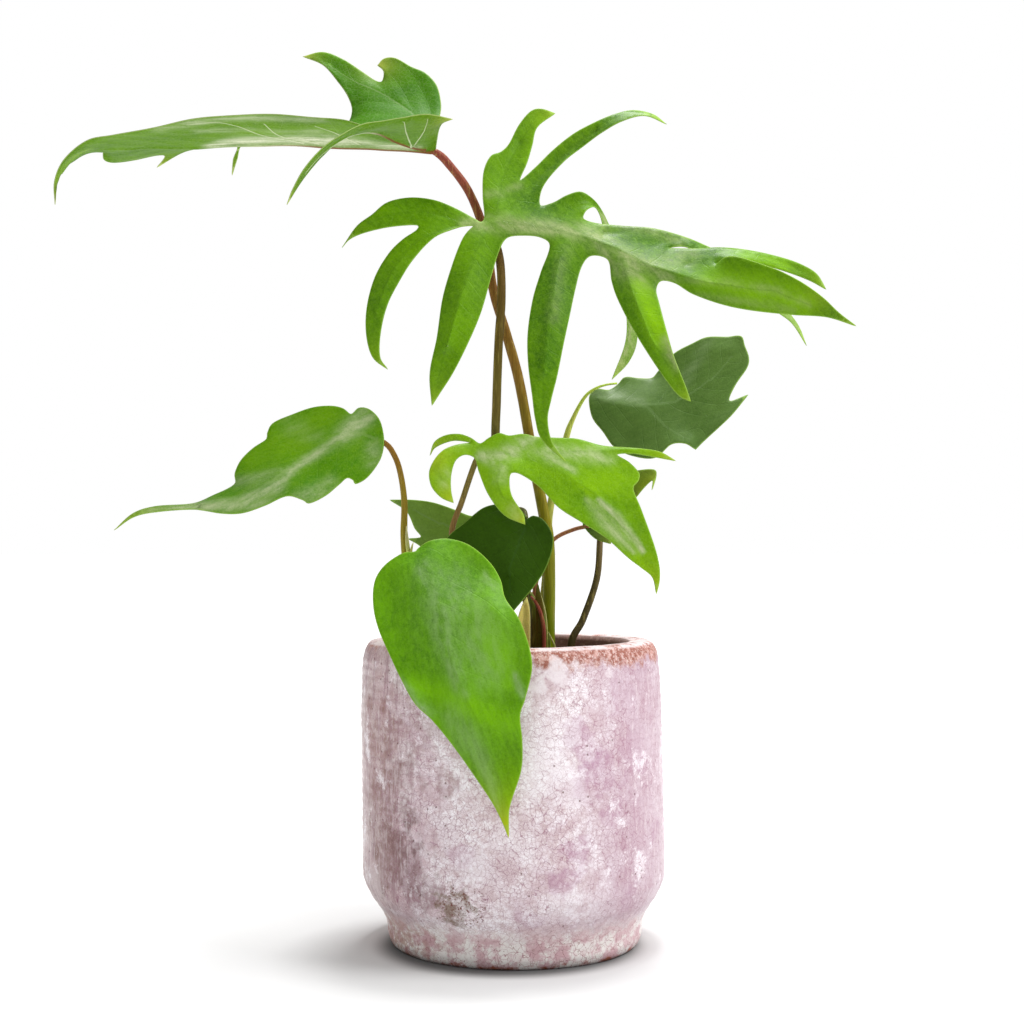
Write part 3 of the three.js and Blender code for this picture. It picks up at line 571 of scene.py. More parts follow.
def colour(red, green, blue):
    """A screen colour, 0 to 255, as the linear values that a shader wants."""
    parts = (part / 255 for part in (red, green, blue))
    return (*(part / 12.92 if part < 0.04 else ((part + 0.055) / 1.055) ** 2.4 for part in parts), 1)


def work_out(tree, operation, *values):
    """One step of arithmetic."""
    return put(tree, "ShaderNodeMath", dict(enumerate(values)), operation=operation).outputs[0]


def times(tree, value, *others):
    """Values or masks multiplied together."""
    for other in others:
        value = work_out(tree, "MULTIPLY", value, other)
    return value


def blend(tree, share, first, second):
    """One colour laid over another."""
    return put(tree, "ShaderNodeMix", {0: share, 6: first, 7: second}, data_type="RGBA").outputs[2]


def cloud(tree, place, scale, detail=3.0, rough=0.55, warp=0.0):
    """Soft noise between 0 and 1. The scale is in waves a metre."""
    values = {"Vector": place, "Scale": scale, "Detail": detail, "Roughness": rough, "Distortion": warp}
    return put(tree, "ShaderNodeTexNoise", values).outputs[0]


def stored(tree, name):
    """A number that the mesh keeps on its vertices."""
    return put(tree, "ShaderNodeAttribute", attribute_name=name).outputs["Fac"]


def stretched(tree, place, x, y, z):
    """A place with its sides scaled, so that noise on it runs in streaks."""
    return put(tree, "ShaderNodeMapping", {"Vector": place, "Scale": (x, y, z)}).outputs[0]


def new_group(name, inputs, outputs):
    """An empty node group with its sockets, its inner input and its inner output."""
    group = bpy.data.node_groups.new(name, "ShaderNodeTree")
    for key, value in inputs.items():
        kind = "NodeSocketColor" if isinstance(value, tuple) else "NodeSocketFloat"
        group.interface.new_socket(key, in_out="INPUT", socket_type=kind).default_value = value
    for key, kind in outputs.items():
        group.interface.new_socket(key, in_out="OUTPUT", socket_type=kind)
    return group, group.nodes.new("NodeGroupInput").outputs, group.nodes.new("NodeGroupOutput").inputs


def bump(tree, height):
    """A normal from a height in millimetres."""
    return put(tree, "ShaderNodeBump", {"Strength": 1.0, "Distance": MM, "Height": height}).outputs[0]


def skin_material(name, group, values, shine):
    """A material whose colour, roughness and relief come from a node group with its own values."""
    material, tree, shader = principled(name)
    out = put(tree, "ShaderNodeGroup", values, node_tree=group).outputs
    tree.links.new(out["Color"], shader.inputs["Base Color"])
    tree.links.new(out["Roughness"], shader.inputs["Roughness"])
    tree.links.new(bump(tree, out["Height"]), shader.inputs["Normal"])
    shader.inputs["Specular IOR Level"].default_value = shine
    return material, shader


print("pure leaf green is", [round(part, 3) for part in colour(100, 150, 45)])

# %% [markdown]
# ## Leaf skin
#
# The leaves are waxy and smooth. Their green isn't even: it is deeper in some patches and fresher in
# others, yellow at the tips, paler along the veins, and a hair-thin pale line runs round the margin. Faint
# streaks run along the leaf, so the noise for them is turned by the lean of the leaf and stretched. A milky
# painted sheen is laid where light catches the wax, broken by the same streaks. All ten leaves share this,
# each with its own greens, so it is one node group. It reads the numbers that the blades store, so every
# vein lies exactly on the relief of its mesh. The strokes of painted sheen are stored too, and so are
# strokes of fresher or deeper green, partly the leaf's own and partly painted light and shade.

# %% Leaf skin group
leaf_skin, skin_in, skin_out = new_group(
    "leaf skin",
    {"Deep": colour(60, 120, 15), "Fresh": colour(110, 170, 40), "Vein": colour(150, 180, 90),
     "Rib": colour(150, 180, 90), "Tip": colour(190, 200, 70), "Edge": colour(170, 190, 90),
     "Painted sheen": colour(150, 175, 110), "Vein gap": 8.0, "Vein share": 0.1, "Rib share": 0.25, "Tip reach": 15.0,
     "Painted sheen share": 0.5, "Brown ribs": 0.0, "Brown end": 2.0, "Lean": 0.0},
    {"Color": "NodeSocketColor", "Roughness": "NodeSocketFloat", "Height": "NodeSocketFloat"},
)
here = own_place(leaf_skin)
beside, vein, fade = (stored(leaf_skin, key) for key in ("beside", "vein", "fade"))
edge, share, from_tip = (stored(leaf_skin, key) for key in ("edge", "share", "tip"))
patches = ease(leaf_skin, cloud(leaf_skin, here, 22, 2), 0.3, 0.7, 0.2, 0.7)
# Stored strokes shift the greens: partly the leaf's own patches, partly painted light and shade.
patches = work_out(leaf_skin, "MULTIPLY_ADD", stored(leaf_skin, "fresh"), 0.7, patches)
turning = {"Vector": here, "Axis": (0, 1, 0), "Angle": skin_in["Lean"]}
turned = put(leaf_skin, "ShaderNodeVectorRotate", turning, rotation_type="AXIS_ANGLE").outputs[0]
lines = cloud(leaf_skin, stretched(leaf_skin, turned, 0.1, 1, 1), 520, 3, 0.6)
patches = work_out(leaf_skin, "ADD", patches, ease(leaf_skin, lines, 0.3, 0.7, -0.18, 0.18))
patches = work_out(leaf_skin, "MAXIMUM", patches, 0.0)
fine = cloud(leaf_skin, here, 340, 4, 0.6)
grain = cloud(leaf_skin, here, 1100, 3, 0.8)
skin = put(leaf_skin, "ShaderNodeMix", {0: patches, 6: skin_in["Deep"], 7: skin_in["Fresh"]},
           data_type="RGBA", clamp_factor=False).outputs[2]
skin = blend(leaf_skin, ease(leaf_skin, fine, 0.3, 0.75, 0.0, 0.35), skin, skin_in["Fresh"])
# The pale grain takes a little of the painted sheen colour; the grain itself is the leaf's own.
pale = blend(leaf_skin, 0.12, skin_in["Fresh"], skin_in["Painted sheen"])
skin = blend(leaf_skin, ease(leaf_skin, grain, 0.45, 0.75, 0.0, 0.45), skin, pale)
skin = blend(leaf_skin, ease(leaf_skin, grain, 0.28, 0.5, 0.22, 0.0), skin, colour(30, 60, 0))

wide_streaks = cloud(leaf_skin, stretched(leaf_skin, turned, 0.16, 1, 1), 210, 4, 0.6)
# Painted sheen: milky strokes where light catches the wax, broken by streaks.
painted_sheen = times(leaf_skin, stored(leaf_skin, "painted_sheen"), ease(leaf_skin, wide_streaks, 0.32, 0.66, 0.3, 1.05),
              ease(leaf_skin, lines, 0.3, 0.6, 0.75, 1.05), ease(leaf_skin, grain, 0.3, 0.6, 0.7, 1.0),
              skin_in["Painted sheen share"])
skin = blend(leaf_skin, painted_sheen, skin, skin_in["Painted sheen"])

from_vein = times(leaf_skin, work_out(leaf_skin, "PINGPONG", vein, 0.5), skin_in["Vein gap"])
on_vein = times(leaf_skin, ease(leaf_skin, from_vein, 0.0, 0.55, 1.0, 0.0), fade)
cells = put(leaf_skin, "ShaderNodeTexVoronoi", {"Vector": here, "Scale": 420.0}, feature="DISTANCE_TO_EDGE")
on_net = times(leaf_skin, ease(leaf_skin, cells.outputs[0], 0.0, 0.1, 1.0, 0.0), fade)
skin = blend(leaf_skin, times(leaf_skin, on_vein, skin_in["Vein share"]), skin, skin_in["Vein"])
skin = blend(leaf_skin, times(leaf_skin, on_net, 0.05), skin, skin_in["Vein"])

order = stored(leaf_skin, "order")
rib_width = ease(leaf_skin, share, 0.0, 1.0, 1.0, 0.45)
on_rib = ease(leaf_skin, work_out(leaf_skin, "DIVIDE", beside, rib_width), 0.35, 0.95, 1.0, 0.0)
later_rib = work_out(leaf_skin, "SUBTRACT", order, skin_in["Brown ribs"])
past_brown = work_out(leaf_skin, "SUBTRACT", share, skin_in["Brown end"])
browned = times(leaf_skin, ease(leaf_skin, later_rib, -0.6, -0.4, 1.0, 0.0),
                ease(leaf_skin, past_brown, -0.15, 0.15, 1.0, 0.0))
main_end = ease(leaf_skin, work_out(leaf_skin, "SUBTRACT", past_brown, order), 0.0, 0.15, 1.0, 0.1)
on_rib = times(leaf_skin, on_rib, work_out(leaf_skin, "MULTIPLY_ADD", browned, 0.25, 0.75), main_end)
rib_tone = blend(leaf_skin, browned, skin_in["Vein"], skin_in["Rib"])
skin = blend(leaf_skin, times(leaf_skin, on_rib, skin_in["Rib share"]), skin, rib_tone)

minus_reach = times(leaf_skin, skin_in["Tip reach"], -1.0)
at_tip = work_out(leaf_skin, "EXPONENT", work_out(leaf_skin, "DIVIDE", from_tip, minus_reach))
skin = blend(leaf_skin, times(leaf_skin, at_tip, 0.7), skin, skin_in["Tip"])
skin = blend(leaf_skin, ease(leaf_skin, edge, 0.1, 0.4, 0.5, 0.0), skin, skin_in["Edge"])
leaf_skin.links.new(skin, skin_out["Color"])
leaf_skin.links.new(ease(leaf_skin, fine, 0.2, 0.8, 0.36, 0.48), skin_out["Roughness"])
height = times(leaf_skin, on_vein, -0.06)
height = work_out(leaf_skin, "MULTIPLY_ADD", on_net, -0.02, height)
height = work_out(leaf_skin, "MULTIPLY_ADD", fine, 0.03, height)
leaf_skin.links.new(height, skin_out["Height"])
print("leaf skin group:", len(leaf_skin.nodes), "nodes")

# %% Leaf finish


# On upper faces the rib tone defaults to a darker green: painted shade in the groove along each rib.
def leaf_finish(name, deep, fresh, vein_gap=8.0, under=None, tip=(190, 200, 70), vein=(150, 178, 100),
                vein_share=0.04, vein_under=0.2, rib=(72, 112, 16), rib_under=(150, 176, 104), rib_share=0.3,
                edge=(150, 185, 80), tip_reach=6.0, painted_sheen=(150, 172, 112), painted_sheen_upper=1.0, painted_sheen_under=0.2,
                brown_ribs=99, brown_end=2.0, shine=0.09, lean=0):
    """The upper and the under material of a leaf."""
    pair = []
    for side, greens, rib_tone, on_ribs, on_veins, on_painted_sheen, coat in (
        ("upper", (deep, fresh), rib, rib_share, vein_share, painted_sheen_upper, 0.4 * shine),
        ("under", under or (fresh, (150, 175, 110)), rib_under, 0.85, vein_under, painted_sheen_under, 0.0),
    ):
        tints = {"Deep": greens[0], "Fresh": greens[1], "Rib": rib_tone, "Vein": vein, "Tip": tip,
                 "Edge": edge, "Painted sheen": painted_sheen}
        values = {key: colour(*tint) for key, tint in tints.items()}
        values |= {"Vein gap": vein_gap, "Vein share": on_veins, "Rib share": on_ribs,
                   "Tip reach": tip_reach, "Painted sheen share": on_painted_sheen, "Brown ribs": brown_ribs,
                   "Brown end": brown_end, "Lean": math.radians(lean)}
        material, shader = skin_material(f"{name} {side}", leaf_skin, values, shine)
        shader.inputs["Coat Weight"].default_value = coat
        shader.inputs["Coat Roughness"].default_value = 0.3
        pair.append(material)
    return pair


print("each leaf has an upper and an under finish")

# %% [markdown]
# ## Top left leaf
#
# The oldest leaf reaches up and to the left, and shows its under side: a thick red-brown rib, pale veins, and
# a near half that folds up towards the eye. Its flattened shape is measured along the rib and across it, so
# each point has that place too.

# %% Top left leaf
top_left_margin = [
    [[-229, 367.5, -4, 216, -4], [-229.3, 379, -8, 204, -10], [-224.5, 390, -14, 192, -17],
     [-213, 399.5, -20, 178, -24], [-200, 402.2, -25, 164, -30], [-180, 405.8, -32, 144, -38],
     [-160, 410.3, -40, 123, -47], [-140, 412, -46, 103, -53], [-120, 412.6, -48, 83, -54],
     [-100, 411, -44, 63, -50], [-86, 410, -40, 49, -46], [-78, 408, -37, 41, -42],
     [-72, 405.5, -36, 35, -40], [-76, 405.5, -40, 38, -45], [-80, 403.7, -44, 42, -51],
     [-85, 400.7, -48, 48, -58], [-95, 392, -56, 63, -71], [-105, 380, -64, 78, -86]],
    [[-113, 367.5, -74, 92, -108], [-110, 375.5, -75, 82, -102], [-104, 386, -74, 70, -94],
     [-95, 396, -70, 57, -85], [-85, 402.8, -66, 45, -77], [-75, 407.7, -60, 34, -68],
     [-65, 409.3, -56, 24, -62], [-55, 411, -52, 14, -56], [-43, 412.6, -47, 2, -49]],
    [[-30.3, 410.1, -38, -12, -37], [-35, 408.3, -29, -6, -28], [-37, 405, -20, -4, -20],
     [-38, 400, -9, -2, -9], [-38.5, 396.6, -1, 0, 0], [-38.2, 399, 6, -1, 8], [-37.4, 405, 17, 0, 25],
     [-36.7, 411.3, 30, 0, 42], [-36.1, 417.5, 38, 1, 52], [-38.3, 427, 46, 5, 64],
     [-44, 433.2, 50, 12, 72], [-51, 436.3, 52, 20, 76], [-59, 440.6, 54, 28, 82],
     [-64.5, 440.3, 55, 33, 82]],
    [[-67.7, 437, 54, 37.5, 79], [-64.6, 434, 51, 34.5, 73], [-65.5, 429, 50, 36, 67],
     [-68.5, 429.2, 50, 39, 67], [-75, 433.5, 52, 46, 73], [-85, 440, 54, 56, 81],
     [-95, 443.6, 54, 67, 86]],
    [[-105, 441.4, 52, 80, 86], [-95, 437.2, 50, 69, 76], [-88, 429.5, 47, 61, 66],
     [-82.5, 421.5, 42, 54, 56], [-80.4, 414, 37, 52, 47], [-84, 407, 34, 56, 39], [-98, 404, 36, 70, 39],
     [-112, 400, 30, 84, 33], [-125, 398.1, 26, 96, 28], [-135.5, 397, 30, 108.5, 33],
     [-138, 390, 37, 112, 45]],
    [[-140.5, 382, 42, 118, 58], [-139.8, 390, 37, 115, 45], [-138, 396.6, 30, 112.5, 33.5],
     [-146, 396.4, 28, 118, 31], [-155, 396, 27, 127, 29], [-165, 393.5, 30, 137, 34]],
    [[-178, 386, 36, 154, 44], [-174, 391.5, 30, 148, 34], [-178, 392, 26, 148, 26],
     [-190, 389.5, 27, 159, 28], [-200, 388.4, 24, 170, 24], [-204.5, 390, 20, 175, 19],
     [-206, 395.7, 13, 176, 12], [-218.5, 390.5, 7, 190, 6], [-227, 382.5, 2, 203, 1]],
]
top_left_ribs = [
    [[-40, 394.4, -1, 2, 0], [-44, 394.8, -1, 6, 0], [-60, 396.3, -1, 22, 0], [-88, 397.6, -2, 50, 0],
     [-110, 398, -3, 72, 0], [-140, 397.6, -3, 102, -1], [-165, 397, -1, 128, -2],
     [-190, 396.5, -1, 154, -3], [-213, 395.2, -3, 178, -5], [-221, 390, -4, 189, -5],
     [-226.6, 383, -4, 199, -4]],
    [[-44, 395.4, -3, 6, -4], [-50.3, 397.4, -8, 13, -10], [-60, 401, -20, 23, -23],
     [-71.3, 404.4, -38, 33, -42], [-82, 403.2, -55, 43, -64], [-95, 394, -63, 60, -78],
     [-104.5, 383, -69, 74, -90]],
    [[-43, 401, 10, 5, 14], [-50, 413, 30, 14, 38], [-62, 421, 40, 30, 52], [-78, 428.5, 47, 49, 64],
     [-93, 438, 51, 64, 79]],
    [[-50.8, 397.8, -9.5, 13.4, -11.5], [-53.5, 404.5, -32, 15, -34], [-54.6, 409.6, -49, 15, -53]],
    [[-49.8, 397.8, -8.5, 12, -11], [-45, 405, -30, 6, -31], [-42.6, 410.6, -44, 2.6, -45]],
    [[-105, 398.7, -5, 67, -3], [-112, 400.5, -11, 75, -10], [-124.5, 403.4, -20, 87, -20],
     [-138.5, 407.5, -32, 101, -37], [-150, 409.2, -37, 112, -43], [-163.7, 408, -35, 126, -40]],
    [[-97, 399, -6, 60, -4], [-107, 400.8, -12, 70, -12], [-114.7, 402.6, -18, 77, -18],
     [-124.5, 408.5, -36, 87, -41]],
    [[-76, 398.8, -8, 40, -6], [-88, 403.3, -22, 50, -23], [-99.3, 407.4, -34, 62, -37]],
]
red_brown = (120, 62, 40)
top_left_finish = leaf_finish("top left leaf", (46, 98, 0), (68, 120, 0), 22.0,
                              under=((66, 110, 0), (104, 146, 28)), rib=red_brown, rib_under=red_brown,
                              rib_share=0.12, vein=(214, 222, 184), vein_share=0.02, vein_under=0.08,
                              edge=(185, 200, 130), painted_sheen=(212, 216, 186), painted_sheen_upper=0.08, painted_sheen_under=1.0,
                              brown_ribs=2, brown_end=0.4, shine=0.02, tip=(196, 200, 90))
# Painted sheen: pale highlights along the rib and the folds of the under side.
top_left_painted_sheen = [
    (1.0, [14, -6, 5], [40, -9, 8], [70, -11, 10], [98, -8, 8], [112, -5, 4]),
    (0.5, [60, -46, 4], [100, -48, 4], [140, -36, 4]),
    (0.35, [60, -26, 3], [90, -30, 3], [120, -30, 3]),
]
# Green strokes: partly the leaf's own green, partly painted light and shade.
top_left_greens_and_painted_light = [
    (-1, [19, 60, 4], [26, 57, 4]),
    (0.5, [60, -30, 10], [110, -20, 10]),
    (1.2, [44, 76, 4], [56, 84, 5], [67, 88, 5]),
    (1.8, [180, -9, 4], [190, -9, 5], [204, -8, 4]),
    (-0.8, [140, 2, 14], [165, 12, 12]),
    (-0.6, [132, -22, 12], [164, -14, 9]),
]
make_blade("leaf_top_left", "blade_top_left", top_left_margin, top_left_ribs, top_left_finish,
           vein_gap=22, slant=1.9, ridge=1.3, rib_size=(1.15, 1.1, 0.6, 0.4, 0.4, 0.5, 0.5, 0.5), crease=1.0,
           held_share=1.0, wave=0.8, painted_sheen=top_left_painted_sheen, fresh=top_left_greens_and_painted_light, seed=1)

# %% [markdown]
# ## Top right leaf
#
# The largest leaf faces the eye like an open hand, with eleven long lobes. Those that point at the eye hang
# down in front, and those at the back fold under.

# %% Top right leaf
top_right_margin = [
    [[-85.4, 346, -14], [-82, 349.8], [-76, 352.8], [-65, 355.7], [-55, 357, -9], [-47.5, 357, -9],
     [-48, 354.8], [-55, 350], [-62, 343], [-69, 331], [-73, 316, -22], [-73.2, 302], [-70, 291]],
    [[-62.6, 285, -34], [-66.5, 291], [-66.3, 303], [-63, 317, -24], [-57, 329], [-50, 340], [-40, 350.5],
     [-30, 355.3], [-20, 356.8, -9], [-22.5, 354], [-25.5, 349.5], [-30, 338, -16], [-35, 321],
     [-38, 301], [-41.5, 283, -27]],
    [[-40.5, 267, -33], [-37, 272.5], [-30, 283.5], [-22, 299.5, -26], [-16, 314], [-11, 331.5],
     [-7, 344.5], [-3, 350.8, -12], [5, 352], [14, 351], [18.5, 347, -14], [14, 333.5], [10, 320],
     [7.5, 303, -30], [7.7, 288], [9.7, 272], [11.3, 260], [14.5, 250]],
    [[26.5, 238.7, -46], [19.5, 248.5], [17.2, 260], [19, 270], [22, 282], [25, 297, -32], [28, 311],
     [31, 325], [34, 336], [38, 341.5, -17], [44, 341.7], [48, 339, -18], [49.5, 329], [53, 319],
     [62, 302, -34], [75, 282], [83, 272]],
    [[88.8, 269, -48], [86, 277], [80.5, 291], [77, 303, -38], [73, 318], [71.5, 325], [74, 329.3, -24],
     [81, 328.2], [90, 322.8], [105, 317.5, -34], [120, 314.5], [140, 312.4], [157, 311.2]],
    [[171.5, 306.7, -56], [163, 313.2], [155, 320.8, -51], [145, 328, -46, 145, 327],
     [135, 333.4, -42, 135, 332], [129.6, 335.6, -40, 129.6, 334], [120, 339, -36, 120, 336.6],
     [112, 341.2, -32, 112, 338.2], [106, 341, -28, 106, 338], [102, 337.6, -24], [108, 341],
     [120, 338.6], [135, 334.4], [148, 329.6]],
    [[156.5, 325, -28], [152, 332.5], [145, 337], [135, 340.7], [120, 344.2, -20], [105, 345.9],
     [90, 345.4], [78, 345.6, -13, 77, 346], [87, 346, -13, 90, 348.5], [104, 337, -16, 105, 351],
     [118, 325, -20, 120, 355], [131, 314.5, -24, 136, 359], [139.5, 308, -27, 144, 362]],
    [[146.7, 297, -32, 153, 367], [142, 308, -26, 144, 366], [132, 320, -20, 131, 363],
     [118, 333, -16, 117, 360], [106, 342, -12, 103, 357], [95, 347.5, -10, 94, 353], [85, 351.5, -8],
     [70, 355.5], [55, 356.7, -6], [42, 358], [35.2, 360.4, -6, 35, 360.4], [36.5, 364.4, -5, 37, 364],
     [41, 366.2, 0, 45, 366.5], [43.7, 361.5, 6, 56, 367.5], [46, 352, 8, 67, 368.5],
     [51, 335, 8, 84, 370], [56, 318, 8, 101, 372], [56.5, 300, 8, 118, 375]],
    [[49.5, 280, 6, 138, 382], [58, 289, 12, 126, 383], [62, 300, 18, 114, 383.5], [61, 320, 22, 94, 382],
     [55, 340, 22, 76, 380], [47.8, 357.5, 17, 61, 378.5], [44.4, 364.4, 10, 51, 377.5],
     [40.3, 369.8, 2, 42, 376], [34, 373.7, -2, 34, 374.5], [27, 372], [20, 368.3], [13.5, 367.2, -3],
     [15, 376.5], [25, 388.5], [35, 396.5, 8], [45, 403.8], [55, 409.3], [66, 411.8]],
    [[76.7, 407.6, 8], [70, 412.5], [60, 414.5, 14], [50, 412.3], [40, 408], [30, 402.5], [20, 394.5, 8],
     [11, 385.7], [3.5, 379.6, 3], [7, 388.5], [9.5, 397, 10], [12, 406]],
    [[21, 413, 16], [14, 415.2], [9, 414, 14], [3, 407], [-2, 397.5], [-6, 393.7, 7], [-11, 391.6],
     [-14.5, 384], [-15, 372], [-14.2, 361, -6], [-16, 358.6, -8], [-20, 360.7], [-30, 366], [-40, 369.7],
     [-52, 370.8, -2], [-63, 368.3], [-70.5, 362.3], [-78, 356.6]],
]
top_right_ribs = [
    [[-11, 358, -9], [10, 357, -11], [30, 353, -14], [50, 347, -19], [70, 337, -26], [90, 330.5, -30],
     [110, 327, -37], [130, 322.5, -43], [152, 316, -50]],
    [[-26, 359.5, -8], [-45, 363.5, -5], [-62, 362, -8], [-76, 355.5, -13]],
    [[-28, 357, -9], [-48, 349, -14], [-60, 335, -21], [-68.5, 314, -26], [-69.8, 298, -31]],
    [[-14, 354, -10], [-19, 342, -17], [-26, 322, -26], [-33, 298, -31], [-38, 280, -33]],
    [[28, 350, -16], [23, 340, -22], [19.5, 322, -29], [17, 304, -34], [15.5, 286, -38],
     [14.5, 264, -42]],
    [[54, 341, -22], [60, 323, -31], [68, 303, -38], [77, 286, -44]],
    [[86, 338, -22], [105, 342, -23], [125, 339.5, -25], [143, 333, -27]],
    [[45, 353.5, -9], [62, 353, -10], [78, 350, -12]],
    [[22, 361, -8], [30, 367, -5]],
    [[-2, 364, -6], [6, 374, -1], [20, 387, 6], [36, 401, 10], [56, 411.4, 14]],
    [[-8, 366, -5], [-5, 380, 2], [1, 394, 9], [9, 407, 15]],
]
top_right_finish = leaf_finish("top right leaf", (54, 99, 0), (104, 153, 0), 11.0, tip=(160, 188, 50),
                               vein_share=0.02, rib_share=0.22, painted_sheen=(170, 176, 128), lean=-48)
# Painted sheen: milky highlights where the lobes and the hand face the light.
top_right_painted_sheen = [
    (0.6, [-24, 357.8, 3.2], [-12, 357.6, 4.2], [8, 356.4, 4], [32, 354.4, 4], [42, 350.5, 5.5],
     [52, 342.5, 6.5], [66, 335, 6], [79, 331.4, 3.5]),
    (0.35, [-13, 372, 2.5], [-5.6, 373.7, 2.2], [4, 377, 2]),
    (0.25, [30, 352, 4], [24, 335, 3], [20, 310, 3]),
    (0.5, [56, 337, 7], [64, 331, 6]),
    (0.55, [76, 299, 3], [80, 289, 3]),
    (0.35, [40, 357, 3], [62, 356, 2.5], [85, 350, 3]),
    (0.3, [70, 338, 5], [90, 342, 4]),
    (0.3, [84, 330, 2], [105, 328.5, 2], [128, 324, 2], [148, 317, 1.5]),
    (0.25, [92, 322, 2], [115, 319, 2], [140, 314.5, 1.5]),
    (0.7, [58, 373, 7], [95, 376, 7], [138, 380, 7]),
    (0.6, [76, 300, 2.5], [82, 286, 2.5]),
    (0.6, [124, 359, 5], [150, 366, 5]),
]
# Green strokes: partly the leaf's own green, partly painted light; the deep stroke on the hand is painted
# shade.
top_right_greens_and_painted_light = [
    (2, [64, 327, 5], [69, 314, 5], [75, 300, 5]),
    (1.4, [98, 330, 6], [122, 324, 8], [145, 318, 7]),
    (1.3, [116, 341, 4], [135, 336, 4]),
    (0.4, [8, 389, 5], [14, 408, 4]),
    (0.3, [-68, 364, 4], [-50, 363.5, 4]),
    (0.2, [-22, 340, 6], [-30, 315, 6]),
    (-0.9, [18, 376, 16], [34, 390, 14], [52, 403, 8]),
    (-0.6, [20, 330, 8], [15, 290, 8]),
    (-0.5, [60, 352, 8], [100, 343, 6]),
]
make_blade("leaf_top_right", "blade_top_right", top_right_margin, top_right_ribs,
           top_right_finish, vein_gap=11, swell=0, wave=0.9, keel=0.1, crease=0.8, painted_sheen=top_right_painted_sheen,
           fresh=top_right_greens_and_painted_light, seed=2)

# %% [markdown]
# ## Left leaf
#
# This one points left and tips forward. A band of pale painted sheen runs down its middle, and the tip is
# drawn out into a thin yellow tail.

# %% Left leaf
left_margin = [
    [[-199.3, 204.7, -44], [-190, 211], [-180, 213.5], [-160, 215, -38], [-145, 213], [-135, 213.3],
     [-124, 217, -34], [-113, 221.7], [-105, 219.7], [-102, 218.1, -32], [-94, 221.8], [-87, 227.5],
     [-83, 230.8, -22], [-79.8, 229.6], [-78.8, 227.8, -22], [-73, 231], [-67, 239], [-64.9, 245.5],
     [-64.8, 252, -11], [-67, 260], [-72, 265], [-77, 265.7, -8], [-81, 262.6, -10], [-85, 265.4],
     [-91, 266.7, -8], [-100, 265.9], [-110, 262.5], [-120, 258], [-122.8, 253, -16], [-123.2, 250.2],
     [-130, 245.5], [-136, 239.5], [-139, 233], [-139.3, 227.6, -26], [-150, 222], [-160, 218],
     [-179, 216.5, -36], [-190, 213]],
]
left_ribs = [
    [[-68, 250.5, -13], [-76, 252.5, -15], [-85, 251, -18], [-95, 246.5, -22], [-108, 238.5, -27],
     [-122, 228, -32], [-138, 219.5, -36], [-160, 216.5, -41], [-182, 215, -44]],
]
left_finish = leaf_finish("left leaf", (58, 118, 0), (100, 148, 4), 12.0, rib=(150, 172, 110), rib_share=0.2,
                          tip_reach=12, painted_sheen=(186, 194, 154), vein_share=0.03, shine=0.05, lean=30)
# Painted sheen: a pale highlight band down the middle and along the folds.
left_painted_sheen = [
    (0.75, [-74, 261, 4.5], [-83, 253.7, 4.5], [-91.5, 247.7, 3], [-102, 241, 2.4], [-111.5, 233.7, 2.6],
     [-122, 224.7, 5.5], [-137.5, 217.4, 3.2], [-156.5, 216.6, 2.2], [-185, 213.5, 1.6]),
    (0.4, [-117, 234, 2.5], [-127, 231, 2.5], [-138, 228.5, 3]),
    (0.4, [-70.5, 247, 4], [-70, 240, 4.5]),
    (0.5, [-107, 220.5, 3.5], [-98, 223.5, 4], [-90, 229, 3]),
    (0.15, [-112, 257, 5], [-97, 251, 4]),
]
# Green strokes: partly the leaf's own green, partly painted light and shade.
left_greens_and_painted_light = [(0.8, [-130, 238, 9], [-115, 250, 9], [-92, 262, 7]), (-0.6, [-85, 240, 8], [-108, 226, 7])]
make_blade("leaf_left", "blade_left", left_margin, left_ribs, left_finish,
           vein_gap=12, slant=0.7, swell=0.12, wave=1.5, keel=0.1, painted_sheen=left_painted_sheen, fresh=left_greens_and_painted_light, seed=3)

# %% [markdown]
# ## Front leaf
#
# A plain young leaf: a heart drawn out to a point. It hangs over the rim with its tip well below it.

# %% Front leaf
front_margin = [
    [[-2.2, 51, -90], [-2.2, 63], [-1, 69], [4, 85, -86], [4.5, 99], [3.4, 112], [6, 120.5],
     [9.3, 135, -85], [8, 146], [3, 160, -75], [-4, 170.5], [-6.5, 180, -58], [-12, 188.7], [-22, 197],
     [-33, 200.3, -44], [-42, 199], [-47.2, 195.6, -47], [-49, 193.8, -49], [-55, 193], [-64, 187],
     [-69, 179, -50], [-69.7, 167], [-67, 155, -58], [-60.5, 140], [-56, 130.5, -68], [-49, 118],
     [-40, 109.3, -78], [-30, 97], [-20, 83, -84], [-10, 68], [-5, 58]],
]
front_ribs = [
    [[-45.5, 191, -51], [-43.5, 183, -55], [-39.5, 173.5, -61], [-35.5, 161, -70], [-29.8, 138, -83],
     [-23, 120, -87], [-16, 104, -88], [-8, 80, -90], [-4, 62, -91]],
]
front_finish = leaf_finish("front leaf", (68, 120, 0), (112, 174, 0), 12.0, tip=(226, 210, 30), tip_reach=11,
                           edge=(150, 184, 70), painted_sheen=(146, 172, 120), vein_share=0.01, rib_share=0.12,
                           lean=-70)
# Painted sheen: grey highlights on the upper middle and thin ones along the margin.
front_painted_sheen = [
    (0.55, [-44, 184, 5], [-38, 168, 6], [-33, 150, 7], [-25, 124, 4]),
    (0.4, [-32, 174, 16], [-20, 150, 18], [-14, 136, 12]),
    (0.6, [-15, 182, 2.5], [-7.5, 173.5, 2.5]),
    (0.7, [0, 132, 2.5], [4.5, 122, 2]),
    (0.8, [-57.5, 130, 2], [-49, 119.5, 3], [-41, 112.5, 2.5]),
    (0.4, [-30, 112, 6], [-20, 96, 6], [-12, 80, 4], [-5, 62, 2]),
]
